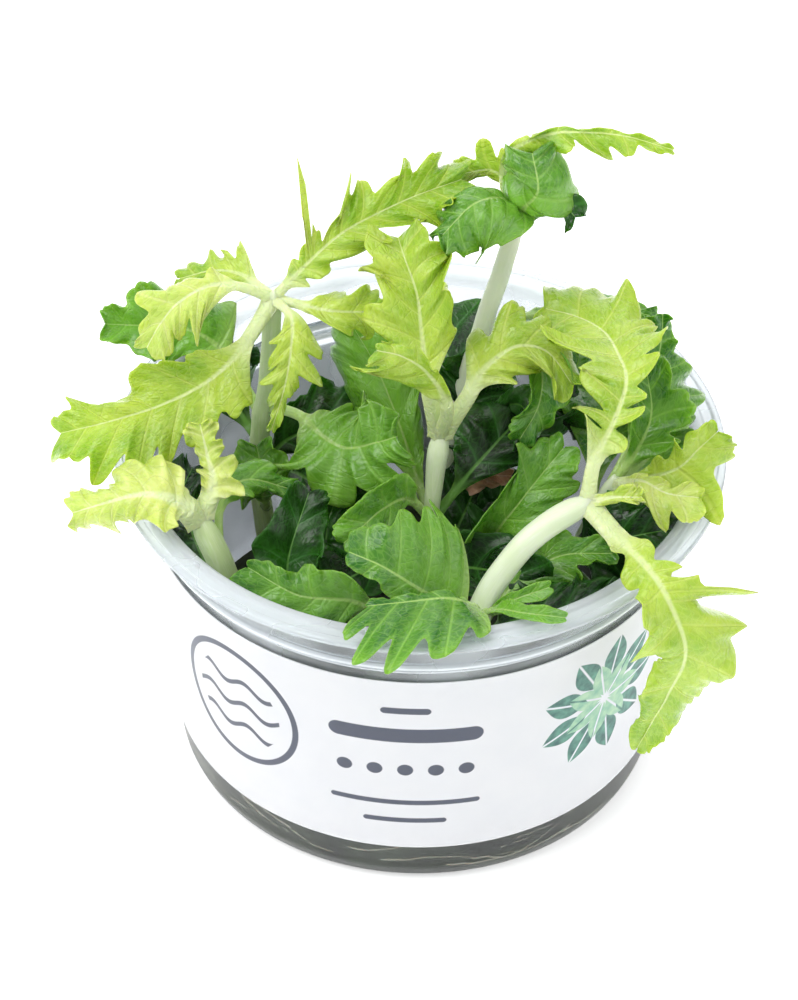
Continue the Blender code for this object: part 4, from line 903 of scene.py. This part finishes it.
growLeaf("top_cupped", dict(
    stalk=(0.22, 1.0), cut=(0.1, 0.15), sweep=(80, 60), fold=4, curl=110, face=[(0.1, -0.7, 0.8)],
    full=1.0, teeth=0.08, unrest=6, ruffle=0.6, age=0.25,
    rib=[(15, 19, 91), (16, 14, 98), (18, 12, 103), (17, 15, 108)],
    left=[(0.34, 6), (0.5, 9), (0.64, 9), (0.8, 8), (0.93, 6)],
    right=[(0.34, 5), (0.5, 8), (0.64, 8), (0.8, 7), (0.93, 5)]))
growLeaf("top_small", dict(
    tone="dark", stalk=(0.4, 0.9), cut=(0.6, 0.6), sweep=(64, 44), fold=10, curl=40, face=[(0, -0.7, 0.8)],
    rib=[(15, 19, 91), (19, 16, 96), (22, 14, 99), (24, 12, 98)], left=[(0.6, 3), (0.85, 3)],
    right=[(0.6, 4), (0.85, 4)]))
growLeaf("left_big", dict(
    tone="young", stalk=(0.16, 1.4), cut=(0.35, 0.35), sweep=(62, 46), fold=10, curl=25,
    face=[(0, -0.6, 1)], teeth=0.08, unrest=16, stray=8, quilt=0.7, age=0.4,
    rib=[(-24, 8, 84), (-27, 5, 80), (-30, 3, 76), (-35, 1, 72), (-42, -1, 69), (-50, -4, 68),
         (-58, -6, 67)], left=[(0.28, 7), (0.4, 10), (0.52, 10), (0.64, 12), (0.76, 12), (0.9, 8)],
    right=[(0.3, 5), (0.45, 9), (0.64, 8), (0.82, 7), (0.93, 4)]))
growLeaf("left_arching", dict(
    tone="pale", stalk=(0.25, 0.9), cut=(0.7, 0.4), sweep=(66, 46), face=[(0, -0.7, 0.8)],
    rib=[(-24, 8, 84), (-29, 7, 87), (-34, 6, 88), (-39, 4, 86), (-42, 2, 83), (-44, 0, 80)],
    left=[(0.36, 9), (0.5, 8), (0.64, 6), (0.8, 5)], right=[(0.35, 3), (0.52, 6), (0.67, 6), (0.82, 4)]))
growLeaf("left_hanging", dict(
    tone="young", stalk=(0.14, 0.9), cut=(0.6, 0.5), sweep=(50, 30), fold=10,
    face=[(0, -0.7, 0.8), (0, -1, 0.3)],
    rib=[(-24, 8, 84), (-21, 3, 84), (-21, -1, 80), (-22, -4, 75), (-24, -7, 69)],
    left=[(0.3, 6), (0.45, 7), (0.62, 3), (0.8, 2)],
    right=[(0.3, 4), (0.42, 5), (0.55, 5), (0.68, 5), (0.84, 2)]))
growLeaf("left_to_centre_long", dict(
    tone="young", stalk=(0.06, 0.9), cut=(0.85, 0.25), sweep=(54, 36), fold=8, curl=15,
    face=[(0, -0.9, 0.6)],
    rib=[(-24, 8, 84), (-18, 9, 91), (-13, 11, 95), (-7, 14, 97), (-1, 16, 99), (6, 19, 100)],
    left=[(0.17, 2), (0.225, 3), (0.25, 15), (0.275, 3.5), (0.36, 5), (0.42, 9), (0.52, 6), (0.6, 7),
          (0.7, 7), (0.78, 8), (0.88, 6)],
    right=[(0.12, 3), (0.2, 3.5), (0.32, 9), (0.45, 8), (0.57, 8), (0.71, 8), (0.85, 6)]))
growLeaf("left_to_centre_short", dict(
    tone="young", stalk=(0.15, 0.9), cut=(0.4, 0.4), fold=8, curl=25, face=[(0, -0.6, 0.9)],
    rib=[(-24, 8, 84), (-15, 5, 84), (-9, 6, 83), (-3, 9, 80)], left=[(0.35, 4), (0.58, 5), (0.8, 4)],
    right=[(0.35, 5), (0.58, 6), (0.8, 4)]))
growLeaf("left_back_broad", dict(
    stalk=(0.35, 0.9), cut=(0.3, 0.3), sweep=(100, 50), fold=8, curl=25, face=[(0, -0.7, 0.8)],
    rib=[(-26, 8, 59), (-30, 13, 63), (-34, 16, 68), (-40, 17, 71), (-47, 16, 72), (-52, 15, 73)],
    left=[(0.45, 4), (0.6, 7), (0.75, 6), (0.9, 4)], right=[(0.42, 8), (0.58, 8), (0.74, 7), (0.9, 4)]))
growLeaf("left_back_top", dict(
    tone="young", stalk=(0.2, 0.9), cut=(0.4, 0.4), fold=8, curl=25, face=[(0, -0.7, 0.8)],
    rib=[(-24, 8, 84), (-29, 14, 84), (-34, 18, 82), (-40, 21, 78)], left=[(0.4, 3), (0.62, 4), (0.84, 3)],
    right=[(0.3, 6), (0.46, 4), (0.64, 4), (0.84, 3)]))
growLeaf("centre_left_frilly", dict(
    stalk=(0.28, 0.9), cut=(0.4, 0.4), sweep=(110, 60), curl=50, face=[(0, -0.7, 0.8)], teeth=0.16,
    ruffle=1.3, waves=2, age=0.15,
    rib=[(-26, 8, 62), (-20, 4, 63), (-16, 0, 62), (-12, -3, 62), (-7, -5, 65), (-4, -6, 67)],
    left=[(0.4, 8), (0.55, 10), (0.7, 9), (0.86, 6)],
    right=[(0.38, 8), (0.5, 9), (0.62, 9), (0.74, 9), (0.88, 6)]))
growLeaf("centre_left_tall", dict(
    # age -0.1 makes this the palest green, painted light on a leaf that sits in shade behind others
    stalk=(0.15, 0.9), cut=(0.1, 0.15), sweep=(50, 36), fold=15, curl=30, full=1.6, teeth=0.06, age=-0.1,
    rib=[(2, -7, 48), (-2, 4, 56), (-7, 13, 65), (-12, 18, 72)],
    left=[(0.3, 5), (0.5, 8), (0.7, 8), (0.88, 4)], right=[(0.3, 4), (0.5, 6), (0.7, 6), (0.88, 4)]))
growLeaf("left_low_pale", dict(
    tone="pale", stalk=(0.15, 2.2), cut=(0.3, 0.3), sweep=(76, 50), curl=60, face=[(0, -0.6, 0.9)],
    full=1.2, ruffle=1.4, waves=2, age=0.25,
    rib=[(-35, -20, 61), (-39, -22, 67), (-44, -22, 68), (-50, -22, 66), (-55, -22, 64)],
    left=[(0.3, 5), (0.5, 5), (0.7, 5), (0.88, 4)], right=[(0.28, 7), (0.48, 7), (0.66, 5), (0.86, 4)]))
growLeaf("left_low_frilly", dict(
    tone="pale", stalk=(0.2, 1.7), cut=(0.5, 0.5), sweep=(70, 50), curl=40, face=[(0, -0.9, 0.4)],
    ruffle=1.2, waves=2, age=0.4, rib=[(-35, -20, 61), (-33, -17, 66), (-34, -14, 70), (-35, -12, 74)],
    left=[(0.45, 3), (0.66, 2), (0.88, 3)], right=[(0.35, 5), (0.52, 4), (0.7, 3), (0.88, 3)]))
growLeaf("front_broad", dict(
    stalk=(0.1, 1.2), cut=(0.12, 0.25), sweep=(84, 50), fold=8, curl=75, full=1.0, teeth=0.03, unrest=5,
    stray=5, quilt=0.3, ruffle=0.5, age=0.55, spacing=0.2,
    rib=[(9, -33, 53), (3, -36, 59), (-1, -37, 63), (-6, -37, 67), (-11, -35, 68)],
    left=[(0.35, 4), (0.6, 4), (0.82, 3)],
    right=[(0.18, 12), (0.3, 16), (0.48, 13), (0.68, 10), (0.88, 5)]))
growLeaf("front_over_rim", dict(
    cut=(0.5, 0.6), sweep=(84, 36), fold=0, curl=14, face=[(0, -0.2, 1)], full=1.0, narrow=4, cutShare=0.8,
    teeth=0.0, unrest=4, stray=3, quilt=0.4, ruffle=0.5, age=0.95,
    rib=[(9, -33, 53), (8, -39, 61), (4, -42, 65), (-2, -44, 66), (-8, -45, 66)],
    left=[(0.38, 8), (0.52, 13), (0.68, 15), (0.84, 13), (0.96, 7)], right=[(0.4, 2), (0.6, 2), (0.8, 2)]))
growLeaf("front_finger_upper", dict(
    stalk=(0.2, 0.9), sweep=(40, 30), fold=15, curl=0, face=[(0, -0.7, 0.8)], teeth=0.0, unrest=3,
    quilt=0.2, ruffle=0.25, age=0.2, rib=[(9, -33, 53), (14, -36, 59), (20, -36, 62)],
    left=[(0.5, 2), (0.8, 2)]))
growLeaf("front_finger_lower", dict(
    stalk=(0.2, 0.9), sweep=(40, 30), fold=10, curl=0, face=[(0, -0.5, 1)], teeth=0.0, unrest=3, quilt=0.2,
    ruffle=0.25, age=0.2, rib=[(9, -33, 53), (12, -39, 60), (16, -43, 63), (22, -45, 64)],
    left=[(0.5, 2), (0.8, 2)]))
growLeaf("front_left_rim", dict(
    stalk=(0.15, 0.9), cut=(0.2, 0.3), sweep=(70, 40), fold=8, curl=30, face=[(0, -0.9, 0.4)],
    rib=[(-4, -31, 51), (-11, -33, 56), (-19, -33, 57), (-27, -30, 60)],
    left=[(0.32, 6), (0.55, 8), (0.78, 6)], right=[(0.32, 6), (0.55, 5), (0.78, 3)]))
growLeaf("inner_left_dark", dict(
    tone="dark", stalk=(0.15, 0.9), cut=(0.1, 0.15), fold=10, face=[(0, -0.7, 0.7)],
    rib=[(-27, -20, 36), (-22, -22, 45), (-21, -19, 53), (-18, -12, 60)],
    left=[(0.35, 5), (0.6, 6), (0.82, 5)], right=[(0.35, 6), (0.6, 7), (0.82, 5)]))
growLeaf("inner_front_right", dict(
    stalk=(0.2, 0.9), cut=(0.2, 0.3), fold=8, curl=30, face=[(0, -0.5, 0.9)],
    rib=[(8, -31, 44), (14, -23, 49), (22, -19, 53), (31, -19, 54)], left=[(0.4, 4), (0.62, 5), (0.82, 4)],
    right=[(0.4, 5), (0.62, 7), (0.82, 4)]))
growLeaf("inner_right_dark", dict(
    tone="dark", cut=(0.1, 0.15), fold=8, rib=[(25, -7, 40), (28, -15, 43), (28, -23, 44), (24, -31, 48)],
    left=[(0.5, 5), (0.7, 6), (0.86, 4)]))
growLeaf("inner_round", dict(
    tone="dark", cut=(0.03, 0.03), rib=[(5, 9, 34), (11, 3, 40), (13, 3, 45), (14, 5, 50)],
    left=[(0.45, 4), (0.65, 5), (0.85, 4)]))
growLeaf("inner_left_round", dict(
    cut=(0.03, 0.03), sweep=(66, 44), rib=[(-26, 7, 40), (-26, 2, 47), (-26, 1, 52), (-27, 3, 57)],
    left=[(0.46, 5), (0.68, 6), (0.88, 4)]))
growLeaf("inner_left_wavy", dict(
    cut=(0.1, 0.2), sweep=(56, 36), face=[(0, -0.6, 0.8)],
    rib=[(-32, -22, 53), (-32, -15, 60), (-28, -10, 61), (-20, -8, 57)],
    left=[(0.48, 4), (0.66, 5), (0.85, 4)], right=[(0.48, 4), (0.66, 4), (0.85, 3)]))
growLeaf("inner_tall_dark", dict(
    tone="dark", stalk=(0.35, 0.9), sweep=(50, 36), fold=10,
    rib=[(-7, -26, 34), (-12, -19, 41), (-15, -14, 46), (-15, -9, 51), (-13, -4, 54)],
    left=[(0.5, 4), (0.7, 5), (0.88, 3)]))
growLeaf("inner_small", dict(
    stalk=(0.25, 0.9), fold=8, curl=30,
    rib=[(2, -7, 50), (-2, -12, 59), (-6, -18, 62), (-9, -22, 62), (-12, -25, 61)],
    left=[(0.4, 4), (0.6, 5), (0.82, 4)]))
growLeaf("inner_olive", dict(
    cut=(0.1, 0.2), sweep=(56, 36), fold=8, rib=[(2, -7, 44), (-4, -8, 53), (-7, -6, 58), (-9, -3, 60)],
    left=[(0.5, 4), (0.68, 4), (0.86, 3)], right=[(0.5, 3), (0.68, 4), (0.86, 3)]))
growLeaf("inner_back", dict(
    tone="dark", stalk=(0.2, 0.9), rib=[(4, 8, 26), (8, 0, 33), (11, -4, 40), (11, -3, 48)],
    left=[(0.4, 6), (0.62, 7), (0.84, 5)]))

# The photo shows more dark leaves between these, too many for solids: they fill the gaps lower down
undergrowth = {
    "right_back": dict(tone="mid", wide=11, rib=[(8, 12, 63), (14, 19, 64), (22, 26, 61), (30, 30, 56)]),
    "behind": dict(wide=12, rib=[(6, 10, 52), (6, 19, 57), (4, 28, 58), (0, 35, 54)]),
    "right_wall": dict(tone="mid", wide=11, rib=[(28, -8, 50), (30, 4, 61), (34, 14, 63), (36, 24, 60)]),
    "right_edge": dict(wide=9, rib=[(26, -8, 44), (34, -8, 52), (40, -5, 55), (42, 2, 56)]),
    "right_middle": dict(wide=10, rib=[(2, -7, 50), (10, -3, 60), (18, 4, 64), (27, 8, 61)]),
    "right_low": dict(wide=9, rib=[(22, -6, 40), (28, -12, 49), (34, -15, 54), (41, -14, 55)]),
    "front_middle": dict(wide=8, rib=[(2, -7, 42), (-5, -15, 48), (-12, -22, 50), (-18, -30, 49)]),
    "front_right": dict(wide=7, rib=[(8, -31, 44), (15, -31, 50), (23, -30, 52), (31, -26, 51)]),
    "left_back": dict(wide=10, rib=[(-26, 8, 52), (-31, 14, 57), (-34, 22, 59), (-32, 30, 56)]),
    "left_wall": dict(wide=7, rib=[(-31, -22, 46), (-36, -14, 50), (-39, -4, 52), (-38, 6, 50)]),
    "left_deep": dict(wide=9, rib=[(-27, 8, 46), (-23, 10, 52), (-16, 11, 55), (-9, 11, 55)]),
    "centre_low": dict(wide=9, rib=[(2, -6, 38), (8, -14, 46), (14, -20, 50), (20, -24, 50)]),
    "centre_deep": dict(wide=9, rib=[(2, -6, 34), (6, 0, 41), (9, 4, 47), (11, 7, 55)]),
    "centre_back": dict(wide=9, rib=[(5, 8, 45), (7, 8, 55), (9, 10, 63), (11, 14, 68)]),
    "left_middle": dict(wide=10, rib=[(-26, 8, 50), (-20, 2, 52), (-14, -4, 52), (-8, -10, 49)]),
    "left_front": dict(wide=7, rib=[(-20, -15, 38), (-19, -22, 45), (-20, -29, 48), (-25, -32, 49)]),
}
# places of the lobes along the midrib, and their shares of the leaf's width, left and right
undergrowthLobes = (((0.35, 0.7), (0.5, 1), (0.66, 1), (0.8, 0.8), (0.92, 0.5)),
                    ((0.36, 0.8), (0.52, 1), (0.68, 0.9), (0.82, 0.7), (0.93, 0.4)))
for place, low in undergrowth.items():
    left, right = ([(at, share * low["wide"]) for at, share in side] for side in undergrowthLobes)
    growLeaf("under_" + place, dict(
        tone=low.get("tone", "dark"), stalk=(0.15, 0.9), cut=(0.15, 0.2), fold=8, curl=25,
        # age 1.1 keeps every one of these at the deepest green, which is partly painted shade for the dark
        # depth of the cup
        face=[(0, -0.7, 0.8)], teeth=0.1, age=1.1, spacing=0.4,
        rib=low["rib"], left=left, right=right), inCad=False)
print("leaves done")


# The floor, the light and the camera

studio = {
    "floor": "#fbfcfd", "floorShade": "#f8f9fb", "floorSize": 6.0, "floorGlow": 0.45, "sky": 0.55,
    # softboxes: place in metres, size, power in watts
    "lamps": [((-0.5, -0.15, 0.8), 0.8, 6.4), ((0.6, -0.4, 0.6), 0.8, 2.2), ((0.1, 0.7, 0.6), 0.9, 3.2)],
    "aim": (0.0, 0.0, 0.055),
}


def makeStudio():
    deselectAll()
    bpy.ops.mesh.primitive_plane_add(size=studio["floorSize"], location=(0, 0, -0.05 * mm))
    floor = bpy.context.object
    floor.name = "paper_sweep"
    made, tree, shader = newMaterial("matt_white_paper_sweep")
    place = addNode(tree, "TexCoord", out="Object")
    soft = addNode(tree, "TexNoise", {"Vector": place, "Scale": 3.0})
    colour = addNode(tree, "Mix", {0: soft, 6: studio["floor"], 7: studio["floorShade"]}, **rgba)
    tree.links.new(colour, shader.inputs["Base Color"])
    shader.inputs["Roughness"].default_value = 0.9
    # the table is lit from below, as for a packshot, so hardly a shadow shows
    shader.inputs["Emission Color"].default_value = (1, 1, 1, 1)
    shader.inputs["Emission Strength"].default_value = studio["floorGlow"]
    floor.data.materials.append(made)
    bpy.context.scene.view_settings.view_transform = "Standard"  # keeps the greens and the white as they are
    world = bpy.data.worlds.new("white_studio")
    bpy.context.scene.world = world
    world.use_nodes = True
    world.node_tree.nodes["Background"].inputs["Color"].default_value = (1, 1, 1, 1)
    world.node_tree.nodes["Background"].inputs["Strength"].default_value = studio["sky"]
    for place, size, power in studio["lamps"]:
        bpy.ops.object.light_add(type="AREA", location=place)
        lamp = bpy.context.object
        lamp.data.size = size
        lamp.data.energy = power
        lamp.rotation_euler = (Vector(place) - Vector(studio["aim"])).to_track_quat("Z", "Y").to_euler()


# fitted to the photograph: its focal length and height in pixels, other lengths in mm, angles in degrees
cameraSetup = {"focalPixels": 3270.3, "photoHeight": 1000, "sensor": 36, "distance": 543.5,
               "elevation": 40.99, "roll": 0.621, "target": (-3.427, 0, 48.319)}


def makeCamera():
    setup = cameraSetup
    tilt, roll = math.radians(setup["elevation"]), math.radians(setup["roll"])
    back = Vector((0, -math.cos(tilt), math.sin(tilt)))
    right = Vector((1, 0, 0))
    up = back.cross(right)
    across = right * math.cos(roll) + up * math.sin(roll)
    upward = up * math.cos(roll) - right * math.sin(roll)
    bpy.ops.object.camera_add()
    camera = bpy.context.object
    camera.location = (Vector(setup["target"]) + back * setup["distance"]) * mm
    turn = [[across[i], upward[i], back[i]] for i in range(3)]
    camera.rotation_euler = Matrix(turn).to_euler()
    camera.data.sensor_width = setup["sensor"]
    camera.data.lens = setup["focalPixels"] / setup["photoHeight"] * setup["sensor"]
    camera.data.clip_start = 0.01
    bpy.context.scene.camera = camera


makeStudio()
makeCamera()
print("studio done")
